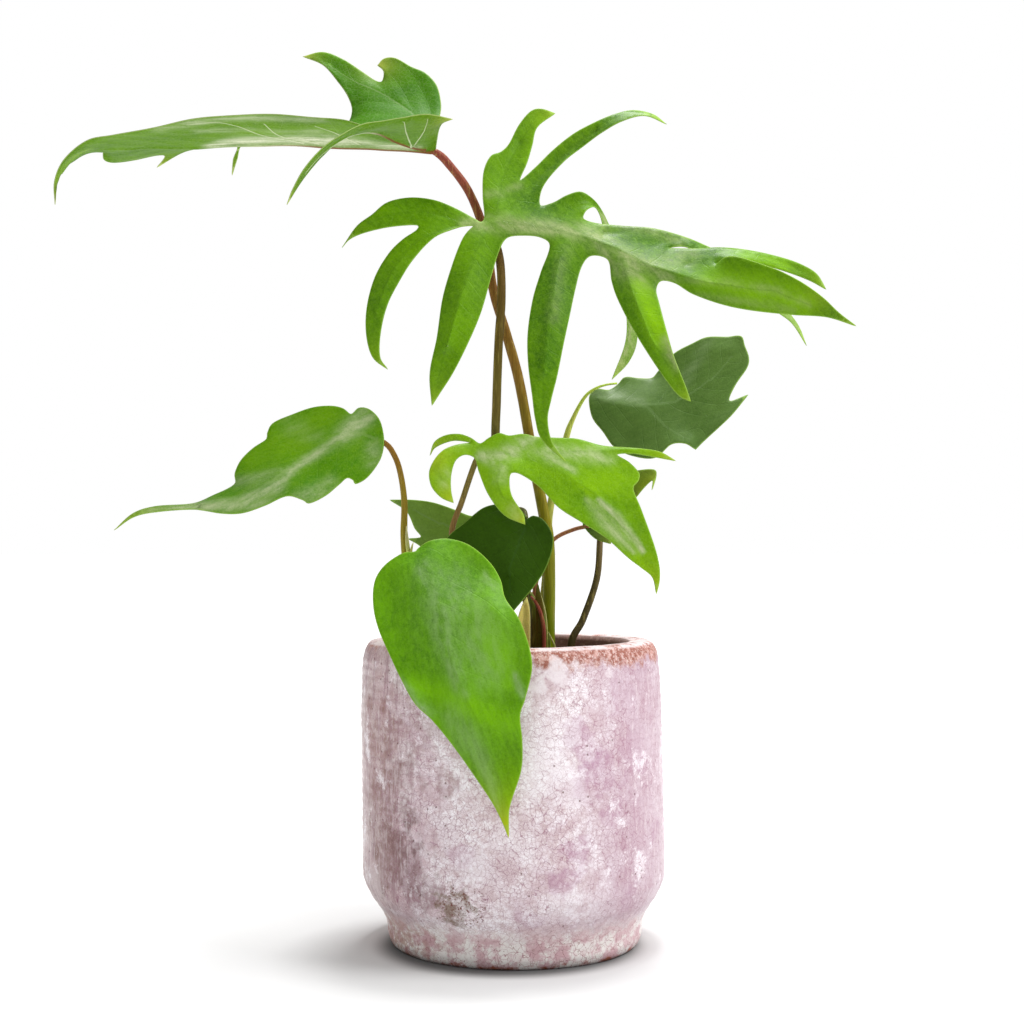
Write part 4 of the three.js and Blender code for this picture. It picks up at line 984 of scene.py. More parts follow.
# Green strokes: partly the leaf's own green, partly painted light and shade.
front_greens_and_painted_light = [
    (0.9, [-8, 150, 8], [-4, 132, 8]),
    (0.9, [-50, 128, 5], [-28, 119, 7], [-2, 108, 7]),
    (-0.4, [-62, 160, 8], [-62, 180, 6]),
    (-0.9, [-44, 190, 7], [-37, 180, 8], [-26, 177, 8]),
]
make_blade("leaf_front", "blade_front", front_margin, front_ribs, front_finish,
           vein_gap=16, slant=0.9, swell=0.05, wave=2.2, keel=0.03, crease=0.4, painted_sheen=front_painted_sheen,
           fresh=front_greens_and_painted_light, seed=4)

# %% [markdown]
# ## Middle leaf
#
# The youngest cut leaf is the brightest. It arches towards the eye, and two of its lobes hook downwards.

# %% Middle leaf
middle_margin = [
    [[-41.5, 241.9, -12], [-39.4, 245.5], [-34.7, 248.1], [-28.7, 249.5], [-21.5, 248.4, -16],
     [-28, 247.3], [-34.7, 244.6, -21], [-39.4, 239.5], [-41.8, 233.4, -24], [-40.6, 226.5],
     [-35.8, 221]],
    [[-29.8, 218.3, -26], [-31.1, 224.5], [-31, 232.4], [-28.7, 239.6], [-24, 242.4, -21],
     [-19, 240.6, -19], [-17, 234], [-12, 222], [-4, 212]],
    [[6, 207.5, -38], [5, 212.5], [-1, 222.5], [-1.5, 232.4, -30], [3, 233], [13, 226.5], [23, 216, -38],
     [35, 208.3], [47, 200.5], [58, 190.6, -44], [64.6, 185.6], [69.8, 181]],
    [[71.7, 172.8, -50], [73.2, 179.5], [73, 187], [70.5, 197], [64, 215, -44], [60, 225.5],
     [62.5, 229.3], [63, 233], [58, 238.5, -34], [52, 242.4, -32], [60, 243], [72, 241]],
    [[81.3, 239.3, -38], [73, 243.8], [60, 245.7], [45, 246.8, -28], [32, 250.2], [22, 250.7],
     [12, 251.2, -22], [5, 252.6], [-2, 251.8], [-7, 253], [-12, 250.7], [-16.5, 247.9, -17],
     [-21, 250.6], [-26.4, 252.5], [-33.5, 252], [-39.2, 248.6]],
]
middle_ribs = [
    [[-14, 243.6, -20], [-4, 243.2, -24], [8, 240.5, -28], [20, 236, -33], [32, 229, -38], [42, 222, -41],
     [52, 212, -44], [60, 200, -47], [68, 186, -49]],
    [[-6, 238, -27], [-7.5, 228, -32], [-3, 217, -36]],
    [[20, 243, -29], [40, 244, -31], [56, 244.4, -33], [72, 242.4, -36]],
    [[-20, 245, -19], [-30, 243.2, -22], [-36.4, 238, -25], [-36.5, 229, -26]],
]
middle_finish = leaf_finish("middle leaf", (90, 142, 0), (130, 182, 0), 9.0, painted_sheen=(208, 214, 172),
                            vein_share=0.02, rib_share=0.12, tip=(196, 204, 50), tip_reach=7, lean=-46)
# Painted sheen: whitish streaky highlights beside the midrib and at the hub.
middle_painted_sheen = [
    (0.7, [-16, 242, 2.4], [-8, 241, 3.6], [2, 246, 3.6], [10, 250, 2.6]),
    (0.6, [10, 244.5, 2.5], [20, 240, 2.5], [31, 234.6, 2]),
    (0.6, [18, 246, 3], [36, 242.5, 3.5], [49, 240, 3]),
    (0.8, [43, 220.5, 1], [54, 208, 2.2], [65, 193.5, 1]),
    (0.55, [37, 220, 1.5], [48, 207, 3.6], [60, 194.5, 1.6]),
    (0.4, [-33.5, 233, 3], [-34, 228, 3]),
    (0.4, [-6.5, 238, 3.5], [-6, 230, 3]),
    (0.3, [0, 216, 3], [2, 211, 3]),
]
# Green strokes: partly the leaf's own green, partly painted light and shade.
middle_greens_and_painted_light = [
    (0.8, [40, 226, 6], [50, 228, 6]),
    (0.8, [62, 190, 6], [70, 176, 5]),
    (-0.6, [5, 232, 5], [32, 220, 6]),
]
make_blade("leaf_middle", "blade_middle", middle_margin, middle_ribs, middle_finish,
           vein_gap=9, swell=0.04, wave=1.0, keel=0.08, crease=0.8, painted_sheen=middle_painted_sheen,
           fresh=middle_greens_and_painted_light, seed=5)

# %% [markdown]
# ## Shade leaf
#
# A dark heart behind the front leaf. It gets little light, and its deep, bluish green is painted shade too.

# %% Shade leaf
shade_margin = [
    [[0, 164, -52], [10, 176], [16, 185], [19.5, 195, -38], [19.5, 202.5], [15, 209.8, -27], [10, 211.7],
     [7.2, 210.6, -24], [4, 214.5], [-3, 217.5, -20], [-14, 216], [-24, 208.3], [-32.5, 201, -27],
     [-36, 192], [-33, 182, -38], [-22, 172], [-10, 165.5]],
]
shade_ribs = [
    [[6, 206, -27], [3, 198, -33], [-1, 186, -42], [-2, 174, -49]],
]
# Painted shade: these dark greens stand for the shade this leaf hangs in.
shade_finish = leaf_finish("shade leaf", (38, 64, 2), (50, 82, 6), 9.0, vein=(50, 80, 30),
                           edge=(120, 150, 60), rib=(50, 80, 30), tip=(50, 80, 20), painted_sheen=(60, 90, 40),
                           vein_share=0.02, shine=0.04, lean=-60)
make_blade("leaf_shade", "blade_shade", shade_margin, shade_ribs, shade_finish,
           vein_gap=9, slant=0.9, swell=0.05, wave=0.8, crease=0.5, seed=6)

# %% [markdown]
# ## Back left leaf
#
# Another heart, grey-green, that leans away at the back.

# %% Back left leaf
back_left_margin = [
    [[-61.5, 219.7, 34], [-53, 213.8], [-49, 205.5], [-46, 201.2, 30]],
    [[-52.5, 200.3, 30], [-47, 197.2], [-42, 192, 28], [-32, 182, 24], [-20, 177], [-9, 181, 14],
     [-3, 191], [-5, 200, 16], [-11, 203.2, 19], [-10, 207], [-15, 211, 22], [-22, 211.8], [-30, 215],
     [-40, 218.3, 28], [-50, 219.6]],
]
back_left_ribs = [
    [[-14, 203, 19], [-24, 204, 22], [-36, 208, 26], [-50, 214.5, 31]],
]
back_left_finish = leaf_finish("back left leaf", (98, 130, 40), (120, 154, 58), 9.0, vein=(110, 140, 90),
                               tip=(110, 140, 80), rib=(120, 145, 95), painted_sheen=(120, 142, 84), shine=0.08,
                               lean=15)
make_blade("leaf_back_left", "blade_back_left", back_left_margin, back_left_ribs,
           back_left_finish, vein_gap=9, slant=0.9, wave=0.5, seed=7)

# %% [markdown]
# ## Right leaf
#
# A dull grey-green leaf that stands up on the right, with a notched margin and a torn-looking corner.

# %% Right leaf
right_margin = [
    [[91.3, 245, 26], [95, 248.8], [105, 258, 28], [110, 263]],
    [[117.5, 272.3, 34], [108.2, 269.3, 34], [111, 277], [117, 286, 38], [117.8, 291], [115.7, 297],
     [114, 301.5], [107, 301.2, 44], [97, 301], [90, 298], [80.5, 292.8], [73, 284.5, 44], [69.5, 280.7],
     [63, 280.5], [56, 281], [52.5, 277.5, 40], [48, 274.7], [42, 275.2], [38.7, 272.5], [38.2, 268, 31],
     [40, 260.5], [45, 254], [51, 246, 25], [60, 241.8], [71, 240.9, 22], [79, 247.5], [86, 248]],
]
right_ribs = [
    [[42, 270.5, 30], [52, 268, 29], [66, 267, 29], [82, 270.5, 31], [98, 279.5, 35], [110, 291, 39]],
    [[66, 267, 29], [76, 258, 26], [88, 249.5, 25]],
]
right_finish = leaf_finish("right leaf", (64, 92, 34), (86, 114, 50), 9.0, vein=(100, 128, 75),
                           tip=(90, 125, 60), rib=(105, 130, 80), vein_share=0.06, painted_sheen=(124, 142, 104),
                           shine=0.1, lean=25)
# Painted sheen: pale highlights along the folds.
right_painted_sheen = [
    (0.6, [41, 272, 2.5], [52, 271, 2.5], [66, 268.5, 2]),
    (0.35, [98, 300, 3], [92, 290, 3], [84, 278, 3]),
]
make_blade("leaf_right", "blade_right", right_margin, right_ribs, right_finish,
           vein_gap=9, slant=0.9, swell=0.12, wave=1.2, painted_sheen=right_painted_sheen, seed=8)

# %% [markdown]
# ## Small leaf
#
# A small leaf behind the middle one, with a curled yellow tip.

# %% Small leaf
small_margin = [
    [[69.5, 224.7, -14], [71.6, 232], [70.5, 234.8], [62, 234.3, -6], [53, 232], [46, 226],
     [43.5, 219, 2], [46, 214.5], [50, 212, 0], [56, 214], [61, 220.4, -6], [66, 226.4], [69.8, 229.5]],
]
small_ribs = [
    [[48.5, 218, 0], [56, 223.5, -4], [64, 229.5, -8]],
]
small_finish = leaf_finish("small leaf", (48, 76, 30), (66, 98, 42), 6.0, vein=(90, 115, 60),
                           tip=(206, 222, 50), tip_reach=8, painted_sheen=(90, 116, 66))
make_blade("leaf_small", "blade_small", small_margin, small_ribs, small_finish,
           vein_gap=6, slant=0.9, swell=0.2, wave=0.3, seed=9)

# %% [markdown]
# ## Low leaf
#
# The smallest leaf has only just opened, low down behind the others.

# %% Low leaf
low_margin = [
    [[48.8, 197.8, 0], [49.5, 203], [45, 208.5, 5], [38.5, 210], [35, 208, 9], [36.6, 205],
     [41.5, 200.3]],
]
low_ribs = [
    [[37.5, 206.8, 8], [42, 204, 5], [46, 200.6, 2]],
]
low_finish = leaf_finish("low leaf", (60, 86, 34), (76, 104, 48), 4.0, vein=(90, 115, 60),
                         tip=(150, 160, 60), painted_sheen=(100, 124, 74))
make_blade("leaf_low", "blade_low", low_margin, low_ribs, low_finish,
           vein_gap=4, slant=0.9, swell=0.15, wave=0.2, seed=10)

# %% [markdown]
# ## Stalks
#
# A leaf stalk is a tube that bends and thins on its way from the soil to the blade. A bevelled curve would
# do, but a mesh made ring by ring can also carry fine ridges, swell where the blade begins, and store how
# far along each ring is, for the colour. The stalks run from red-brown or ochre to olive, with fine dark
# streaks along them. Their lower ends go down into the soil.

# %% Stalk finish
stalk_skin, stalk_in, stalk_out = new_group(
    "stalk skin",
    {"Foot": colour(110, 120, 30), "Middle": colour(150, 110, 55), "Top": colour(120, 65, 45), "Bend": 0.5},
    {"Color": "NodeSocketColor", "Roughness": "NodeSocketFloat", "Height": "NodeSocketFloat"},
)
here = own_place(stalk_skin)
way = stored(stalk_skin, "way")
drift = work_out(stalk_skin, "MULTIPLY_ADD", cloud(stalk_skin, here, 60, 2), 0.2, -0.1)
way = work_out(stalk_skin, "ADD", way, drift)
lower = put(stalk_skin, "ShaderNodeMapRange", {0: way, 1: 0.1, 2: stalk_in["Bend"]}).outputs[0]
upper = put(stalk_skin, "ShaderNodeMapRange", {0: way, 1: stalk_in["Bend"], 2: 0.95}).outputs[0]
tone = blend(stalk_skin, lower, stalk_in["Foot"], stalk_in["Middle"])
tone = blend(stalk_skin, upper, tone, stalk_in["Top"])
streak = cloud(stalk_skin, stretched(stalk_skin, here, 1, 1, 0.06), 1400, 3, 0.6)
tone = blend(stalk_skin, ease(stalk_skin, streak, 0.35, 0.7, 0.0, 0.3), tone, colour(45, 32, 16))
pale = cloud(stalk_skin, stretched(stalk_skin, here, 1, 1, 0.1), 700, 2)
tone = blend(stalk_skin, ease(stalk_skin, pale, 0.52, 0.72, 0.0, 0.3), tone, colour(186, 168, 92))
stalk_skin.links.new(tone, stalk_out["Color"])
stalk_skin.links.new(ease(stalk_skin, streak, 0.3, 0.7, 0.38, 0.55), stalk_out["Roughness"])
stalk_skin.links.new(work_out(stalk_skin, "MULTIPLY", streak, 0.12), stalk_out["Height"])


def stalk_finish(name, foot, middle, top, bend=0.5):
    """A stalk's material, from its colours at the foot, halfway and at the blade."""
    values = {"Foot": colour(*foot), "Middle": colour(*middle), "Top": colour(*top), "Bend": bend}
    return skin_material(name, stalk_skin, values, 0.15)[0]


print("stalk skin group:", len(stalk_skin.nodes), "nodes")

# %% Stalk mesh
stalk_sides = 20
ring_step = 1.8
stalk_foot = 104


def closed_tube(rings, sides):
    """Faces of a tube whose points are its rings and then the middles of its first and its last end."""
    faces = []
    for a in range(0, (rings - 1) * sides, sides):
        b = a + sides
        faces += [(a + k, a + (k + 1) % sides, b + (k + 1) % sides, b + k) for k in range(sides)]
    last, foot, top = (rings - 1) * sides, rings * sides, rings * sides + 1
    for k in range(sides):
        following = (k + 1) % sides
        faces += [(foot, following, k), (top, last + k, last + following)]
    return faces


def make_stalk(name, nodes, line, finish, swelling=0.15, seed=1):
    """A round stalk of changing width along a drawn line, closed at both ends."""
    path = smooth_line(line, ring_step)
    centres = placed(path)
    ahead = np.gradient(centres, axis=0)
    ahead /= np.linalg.norm(ahead, axis=1)[:, None]
    way = np.concatenate([[0], np.cumsum(np.linalg.norm(np.diff(centres, axis=0), axis=1))])
    share = way / way[-1]
    radius = path[:, 3] / 2 * (1 + path[:, 2] / eye_distance)
    radius = radius * (1 + swelling * smooth_step(0.93, 1.0, share))
    angle = np.arange(stalk_sides) * 2 * math.pi / stalk_sides
    side = np.array([1.0, 0.0, 0.0])
    rings = []
    for centre, forward, r, s in zip(centres, ahead, radius, way):
        side = side - forward * side.dot(forward)
        side /= np.linalg.norm(side)
        up = np.cross(forward, side)
        round_it = np.cos(angle)[:, None] * side + np.sin(angle)[:, None] * up
        ripple = 1 + 0.025 * np.cos(5 * angle + seed) + 0.04 * noise.noise(Vector((s / 9, seed * 3.1, 0)))
        rings.append(centre + r * ripple[:, None] * round_it)
    points = np.vstack([*rings, centres[:1], centres[-1:]])
    faces = closed_tube(len(rings), stalk_sides)
    shares = np.concatenate([np.repeat(share, stalk_sides), [0, 1]])
    return make_piece(name, nodes, points, faces, [finish], attributes={"way": shares})


print("rings of", stalk_sides, "sides every", ring_step, "mm")

# %% All stalks
stalk_lines = {
    "top_left": ("stalk_brown", [
        [17.8, stalk_foot, 12, 6], [17.8, 150, 11, 6.2], [18, 180, 10, 6.2], [17.5, 200, 9, 6],
        [14.5, 217, 8, 5.6], [10, 240, 8, 5.2], [3, 279, 8, 5], [-3.5, 303, 8, 4.8], [-10, 325, 8, 4.6],
        [-14, 352, 8, 4.4], [-22, 373.5, 7, 4.2], [-33, 388.5, 3, 3.8], [-38.5, 393.4, 0, 3.2],
        [-43, 394.6, -0.6, 1.4]],
        (128, 150, 0), (136, 110, 30), (134, 62, 48), 0.5),
    "top_right": ("stalk_brown", [
        [8, stalk_foot, -4, 4.6], [8, 150, -4, 4.6], [6, 180, -2, 4.6], [2, 200, 1, 4.6], [-4, 222, 0, 4.5],
        [-8.5, 245, -5, 4.4], [-8.2, 270, -8, 4.4], [-7.2, 298, -8, 4.4], [-5.8, 322, -7, 4.3],
        [-7, 342, -5, 4.2], [-12.2, 356, -4.6, 3.4]],
        (96, 68, 24), (100, 92, 30), (104, 76, 34), 0.6),
    "left": ("stalk_green", [
        [-41, stalk_foot, -6, 4], [-45, 150, -8, 4], [-52, 178, -9, 4], [-54.4, 200, -9, 3.6],
        [-54.4, 220, -9, 3.1], [-57, 236, -9, 2.9], [-61, 245, -10, 2.7], [-64.6, 248.6, -10.5, 2.3],
        [-66.6, 249.8, -11, 1.3]], (160, 172, 48), (160, 148, 40), (136, 98, 30), 0.6),
    "front": ("stalk_green", [
        [-26, stalk_foot, -31, 3.6], [-30, 150, -36, 3.6], [-38, 178, -44, 3.4],
        [-45.4, 190.6, -47.6, 2.6]],
        (120, 110, 60), (130, 130, 60), (130, 140, 60), 0.5),
    "middle": ("stalk_brown", [
        [-14, stalk_foot, -12, 3.4], [-17, 150, -12, 3.4], [-25, 185, -13, 3.2], [-30.5, 203, -14, 3],
        [-25.5, 219, -15, 2.9], [-18.8, 238.5, -16.5, 2.8], [-15.5, 243.6, -18, 2]],
        (120, 95, 50), (150, 115, 65), (120, 110, 50), 0.7),
    "shade": ("stalk_brown", [
        [-5, stalk_foot, -24, 2.8], [-6, 150, -22, 2.8], [-8, 180, -15, 2.6], [-5, 203, -9, 2.4],
        [1, 214, -10, 2.3], [5.5, 214.4, -17, 2.2], [6.6, 209.5, -24, 2.2]],
        (106, 74, 44), (110, 85, 50), (90, 90, 40), 0.5),
    "back_left": ("stalk_green", [
        [-4, stalk_foot, 26, 3], [-5, 150, 28, 3], [-7, 185, 29, 2.8], [-13, 203.5, 20, 2.6]],
        (95, 106, 53), (100, 110, 55), (100, 115, 60), 0.5),
    "right": ("stalk_green", [
        [13, stalk_foot, 30, 4], [14, 150, 30, 4], [17, 190, 29, 3.8], [18.6, 216, 28, 3.6],
        [26.5, 250.5, 29, 3.2], [30, 260.4, 30, 2.3], [36, 271.3, 30.5, 1.7], [41.5, 275.6, 31, 1.3],
        [47, 277.4, 32, 1], [52, 278, 33, 0.9]],
        (150, 150, 60), (190, 195, 90), (170, 195, 70), 0.75),
    "small": ("stalk_brown", [
        [27, stalk_foot, 2, 3.6], [29, 147, 4, 3.6], [35, 160, 8, 3.5], [42, 181, 13, 3.3],
        [43.8, 203, 14, 3.1], [46, 212, 9, 2.8], [49, 219, 0, 2.6]],
        (60, 50, 20), (80, 70, 35), (125, 105, 70), 0.6),
    "low": ("stalk_brown", [
        [7, stalk_foot, 20, 2.4], [8, 150, 20, 2.4], [14, 190, 20, 2.2], [20.5, 200, 18, 2],
        [30, 204.8, 14, 2], [38.5, 206.8, 6.5, 1.8]],
        (140, 90, 60), (170, 105, 75), (165, 110, 80), 0.6),
}
for seed, (key, (slot, line, foot, middle, top, bend)) in enumerate(stalk_lines.items()):
    finish = stalk_finish(f"stalk {key}", foot, middle, top, bend)
    make_stalk(f"stalk_{key}", [f"petiole_{key}"], line, finish, seed=seed)

# %% [markdown]
# ## Stub, sheath and flap
#
# An old leaf was cut off here. What is left is a thick green stub with a red edge down its right side, a
# papery sheath at its left that has dried to pale straw, and a green flap that once wrapped the stem. The
# stub is a stalk that ends in a point; the other two are thin sheets made like the blades.

# %% Stub, sheath and flap
stub_line = [[13, stalk_foot, -19, 8], [12.4, 150, -19, 7.6], [11.6, 163, -18, 6], [9.6, 170, -17, 3.6],
             [8.6, 173.5, -17, 1.8]]
stub_finish = stalk_finish("stub", (88, 68, 16), (96, 80, 20), (110, 124, 44), 0.75)
make_stalk("stub_green", ["stub"], stub_line, stub_finish, swelling=0, seed=21)
band_line = [[15.6, stalk_foot, -27, 2], [15.6, 146, -27, 2], [15.2, 157, -27, 2], [13.4, 164.4, -26.5, 1.8],
             [11.2, 168.8, -25, 1.6], [9, 171.4, -23, 1.1]]
band_finish = stalk_finish("red band", (130, 66, 48), (156, 76, 60), (146, 66, 50), 0.6)
make_stalk("stub_red_band", [], band_line, band_finish, swelling=0, seed=22)

sheath_margin = [
    [[6.8, 171, -27], [4.2, 166], [2.4, 158, -28], [2.4, 130, -28], [2.6, stalk_foot, -28],
     [7.5, stalk_foot, -28], [8.2, 130, -28], [8.4, 158, -28], [8, 166]],
]
flap_margin = [
    [[12.4, 178, -25], [11.4, 172], [11.4, 158, -25], [11.2, 130, -26], [11.2, stalk_foot, -26],
     [15.2, stalk_foot, -26], [15.2, 130, -26], [15.6, 158, -25], [15, 167], [13.6, 173]],
]
sheath_rib = [[[5.6, 168, -26], [5.5, 140, -27], [5.2, 108, -27]]]
flap_rib = [[[12.8, 174, -25], [13.3, 150, -25.5], [13.2, 108, -26]]]
straw = ((248, 240, 120), (250, 218, 130))
sheath_skin = leaf_finish("sheath", *straw, 1.2, under=straw, vein=(240, 230, 160), vein_share=0.1,
                          rib_share=0.1, edge=(236, 232, 150), tip=(215, 210, 120), tip_reach=2,
                          painted_sheen=(246, 236, 170), shine=0.08)
dark_husk = ((72, 56, 16), (96, 78, 26))
flap_skin = leaf_finish("flap", *dark_husk, 1.2, under=dark_husk, vein=(40, 34, 12), vein_share=0.1,
                        rib_share=0.1, edge=(96, 100, 40), tip=(110, 140, 50), tip_reach=3,
                        painted_sheen=(84, 72, 30), shine=0.04)
make_blade("sheath_dry", "sheath", sheath_margin, sheath_rib, sheath_skin, 1.2, 0.0, 0.0,
           swell=0.1, wave=0.1, groove=0, ridge=0, keel=0, seed=31)
make_blade("flap_green", "flap", flap_margin, flap_rib, flap_skin, 1.2, 0.0, 0.0,
           swell=0.1, wave=0.1, groove=0, ridge=0, keel=0, seed=32)

# %% [markdown]
# Smaller scraps of skin cling to the stalks: a pale one stands off the left stalk, and pale fibres lean out
# at the foot of the thick one. They are too thin to matter to the measured model, but the eye misses them.

# %% Scraps
pale_skin = stalk_finish("pale skin", (170, 180, 84), (190, 196, 104), (214, 208, 150), 0.6)
green_skin = stalk_finish("green skin", (92, 112, 30), (104, 128, 36), (120, 140, 50), 0.6)
scraps = {
    "left": (pale_skin, [[-48.6, 176, -11, 2.4], [-51.4, 188, -11, 2.3], [-52.9, 199, -11, 1.9],
                         [-53.3, 206.6, -11, 0.5]]),
    "left_point": (pale_skin, [[-51.6, 190, -12, 1.6], [-50.6, 196, -12, 1.1], [-49.8, 198.6, -12, 0.3]]),
    "husk": (green_skin, [[15.4, 120, -10, 3], [15.6, 150, -10, 3], [14.4, 165, -10, 2.6],
                          [12.4, 177.5, -10, 0.5]]),
    "husk_edge": (pale_skin, [[17.2, 120, -22, 0.8], [17.1, 150, -22, 0.8], [16, 164, -21, 0.8],
                              [12.6, 176, -19, 0.5]]),
    "fibre_one": (green_skin, [[18.6, 120, -24, 1.2], [18.4, 146, -24, 1.2], [17.8, 153.8, -24, 0.4]]),
    "fibre_two": (pale_skin, [[21.6, 128, -22, 0.9], [21.2, 145, -22, 0.9], [19.4, 150, -23, 0.8],
                              [17.6, 153.6, -24, 0.4]]),
}
for seed, (key, (finish, line)) in enumerate(scraps.items(), 41):
    make_stalk(f"scrap_{key}", [], line, finish, swelling=0, seed=seed)

# %% [markdown]
# ## Pot
#
# The pot was thrown on a wheel, so its body is a profile turned about an axis: a narrow foot, a soft
# shoulder and straight sides up to a thick rim. A perfect lathe shape would look cast. This one leans a
# little, its wall wanders in and out by some tenths of a millimetre, faint rings from the potter's fingers
# run round it, and the glaze lies in low lumps. All of that is in the mesh, and the profile's sizes come
# from the measured pot.

# %% Pot mesh
pot_low, pot_high = (np.array(corner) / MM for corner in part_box("pot"))
pot_height = pot_high[2]
pot_radius = (pot_high[1] - pot_low[1]) / 2
mouth_radius = 57
pot_lean = 2.5
pot_sides = 300
wall_step = 1.3


def pot_profile():
    """The turned profile as radius and height, from the foot over the rim to the floor inside."""
    r, h = pot_radius, pot_height
    foot = [[0, 1.2, 0], [r - 25, 1.2, 0], [r - 19, 0.6, 0], [r - 17, 0, 0], [r - 14.6, 0.1, 0]]
    wall = [[r - 13.4, 1.2, 0], [r - 12, 4, 0], [r - 11.5, 9.7, 0], [r - 10.2, 14.7, 0], [r - 7.5, 19.7, 0],
            [r - 4, 24.7, 0], [r - 1.5, 29.7, 0], [r, 36, 0], [r, 75, 0], [r - 0.3, 100, 0],
            [r - 0.7, 125, 0], [r - 1.6, 141, 0], [r - 2.6, h - 4.5, 0], [r - 4.2, h - 1.4, 0],
            [r - 6.8, h - 0.1, 0]]
    inner = [[mouth_radius + 3, h - 0.2, 0], [mouth_radius + 0.8, h - 1.6, 0], [mouth_radius, h - 5, 0],
             [mouth_radius, 120, 0], [mouth_radius, 40, 0], [mouth_radius - 3, 22, 0],
             [mouth_radius - 9, 9, 0], [0, 9, 0]]
    return smooth_line([*foot, *wall, *inner], wall_step)[:, :2]


def wandering(x, y, z, scale, seed):
    """Slow noise about 0 at a place in millimetres."""
    return noise.noise(Vector((x / scale, y / scale, z / scale + seed)))


def lean_at(height):
    """How far the pot leans to the right at a height."""
    return pot_lean * (0.5 - height / pot_height)


profile = pot_profile()
noise_radius = 70
wall_waves = ((0.55, 48, 0), (0.28, 14, 8), (0.12, 5, 4))
finger_depth, finger_turn = 0.11, 1.35
pot_points = []
for radius, height in profile[1:-1]:
    for k in range(pot_sides):
        angle = 2 * math.pi * k / pot_sides
        x, y = math.cos(angle), math.sin(angle)
        place = (noise_radius * x, noise_radius * y, height)
        push = finger_depth * math.sin(height * finger_turn + 1.2 * wandering(*place, 40, 3))
        push += sum(depth * wandering(*place, width, seed) for depth, width, seed in wall_waves)
        rise = 0.5 * wandering(*place[:2], 0, 30, 5) * smooth_step(pot_height - 12, pot_height, height)
        reach = radius + smooth_step(10, 40, radius) * push
        pot_points.append((reach * x + lean_at(height), reach * y, max(0.0, height + rise)))
pot_points += [(lean_at(height), 0, height) for _, height in (profile[0], profile[-1])]
pot_faces = closed_tube(len(profile) - 2, pot_sides)
print("profile of", len(profile), "points")

# %% [markdown]
# ## Glaze
#
# The glaze is the pot's whole character. A milky white lies over mauve, thick in some places and thin in
# others, with drips towards the sides. Fine pink crackle runs all over it, and tiny dark pinholes are
# scattered through it. Under the rim the glaze pulled back and bare orange-brown clay shows, with a pale
# painted highlight along the top of the lip. The inside is dark brown, partly bare clay and partly painted
# shade down in the mouth, and the foot has a cream cast, partly its own and partly painted light from the
# floor, and a few chips. Each of these is a mask laid over the last, so the layers are built in the order
# in which the real ones lie.

# %% Glaze
glaze, glaze_tree, glaze_shader = principled("crackle glaze")
here = own_place(glaze_tree)
parts = put(glaze_tree, "ShaderNodeSeparateXYZ", {0: here}).outputs
level = work_out(glaze_tree, "MULTIPLY", parts[2], 1000.0)
flat_place = put(glaze_tree, "ShaderNodeCombineXYZ", {0: parts[0], 1: parts[1]}).outputs[0]
from_axis = put(glaze_tree, "ShaderNodeVectorMath", {0: flat_place}, operation="LENGTH").outputs["Value"]
from_axis = work_out(glaze_tree, "MULTIPLY", from_axis, 1000.0)


def over(share, base, top):
    """Lays a glaze colour over what is there."""
    return blend(glaze_tree, share, base, colour(*top))


def both(*masks):
    """Where all these masks meet. A plain number among them makes the rest weaker."""
    return times(glaze_tree, *masks)


def spot(place, reach, ragged=0.5, scale=120):
    """A ragged patch about a place, in millimetres."""
    centre = tuple(part * MM for part in place)
    away = put(glaze_tree, "ShaderNodeVectorMath", {0: here, 1: centre}, operation="DISTANCE").outputs[1]
    away = work_out(glaze_tree, "DIVIDE", away, reach * MM)
    rough = work_out(glaze_tree, "MULTIPLY_ADD", cloud(glaze_tree, here, scale, 4), 2 * ragged, -ragged)
    return ease(glaze_tree, work_out(glaze_tree, "ADD", away, rough), 0.55, 1.0, 1.0, 0.0)


broad = cloud(glaze_tree, here, 30, 5, 0.65, 0.6)
medium = cloud(glaze_tree, here, 85, 6, 0.7)
small = cloud(glaze_tree, here, 330, 5, 0.7)
speckle = cloud(glaze_tree, here, 900, 3, 0.7)
drips = cloud(glaze_tree, stretched(glaze_tree, here, 1, 1, 0.14), 260, 5, 0.7)
thin_drips = cloud(glaze_tree, stretched(glaze_tree, here, 1, 1, 0.1), 620, 4, 0.7)
sideways = ease(glaze_tree, put(glaze_tree, "ShaderNodeMath", {0: parts[0]}, operation="ABSOLUTE").outputs[0],
                0.025, 0.062)
leftward = ease(glaze_tree, parts[0], -0.068, -0.02, 1.0, 0.0)
coat = over(ease(glaze_tree, broad, 0.42, 0.66, 0.0, 0.8), colour(250, 245, 249), (206, 182, 192))
coat = over(ease(glaze_tree, medium, 0.44, 0.62, 0.0, 0.55), coat, (198, 168, 174))
coat = over(ease(glaze_tree, small, 0.44, 0.64, 0.0, 0.5), coat, (198, 170, 172))
coat = over(ease(glaze_tree, speckle, 0.48, 0.68, 0.0, 0.4), coat, (172, 142, 140))
mixed = work_out(glaze_tree, "MULTIPLY_ADD", small, 0.5, both(medium, 0.5))
broken = ease(glaze_tree, mixed, 0.4, 0.58, 0.35, 1.0)
print("glaze base laid")

# %% [markdown]
# Some patches are large enough to be known by their place: grey-mauve and darker mauve down the left, partly
# the glaze's own and partly painted shade on the side away from the lamp, purer mauve on the right and milky
# islands. Each is a ragged spot about a point of the wall. The noise inside the spot's edge keeps it from
# looking like a stamp. The rusty smudge low at the front lies over all of these, so it is laid last, in the
# cell on the rim, the inside and the foot.

# %% Known patches


def on_wall(across, height):
    """The place on the front of the wall that is seen at this place."""
    return (across, -math.sqrt(pot_radius**2 - across**2), height)


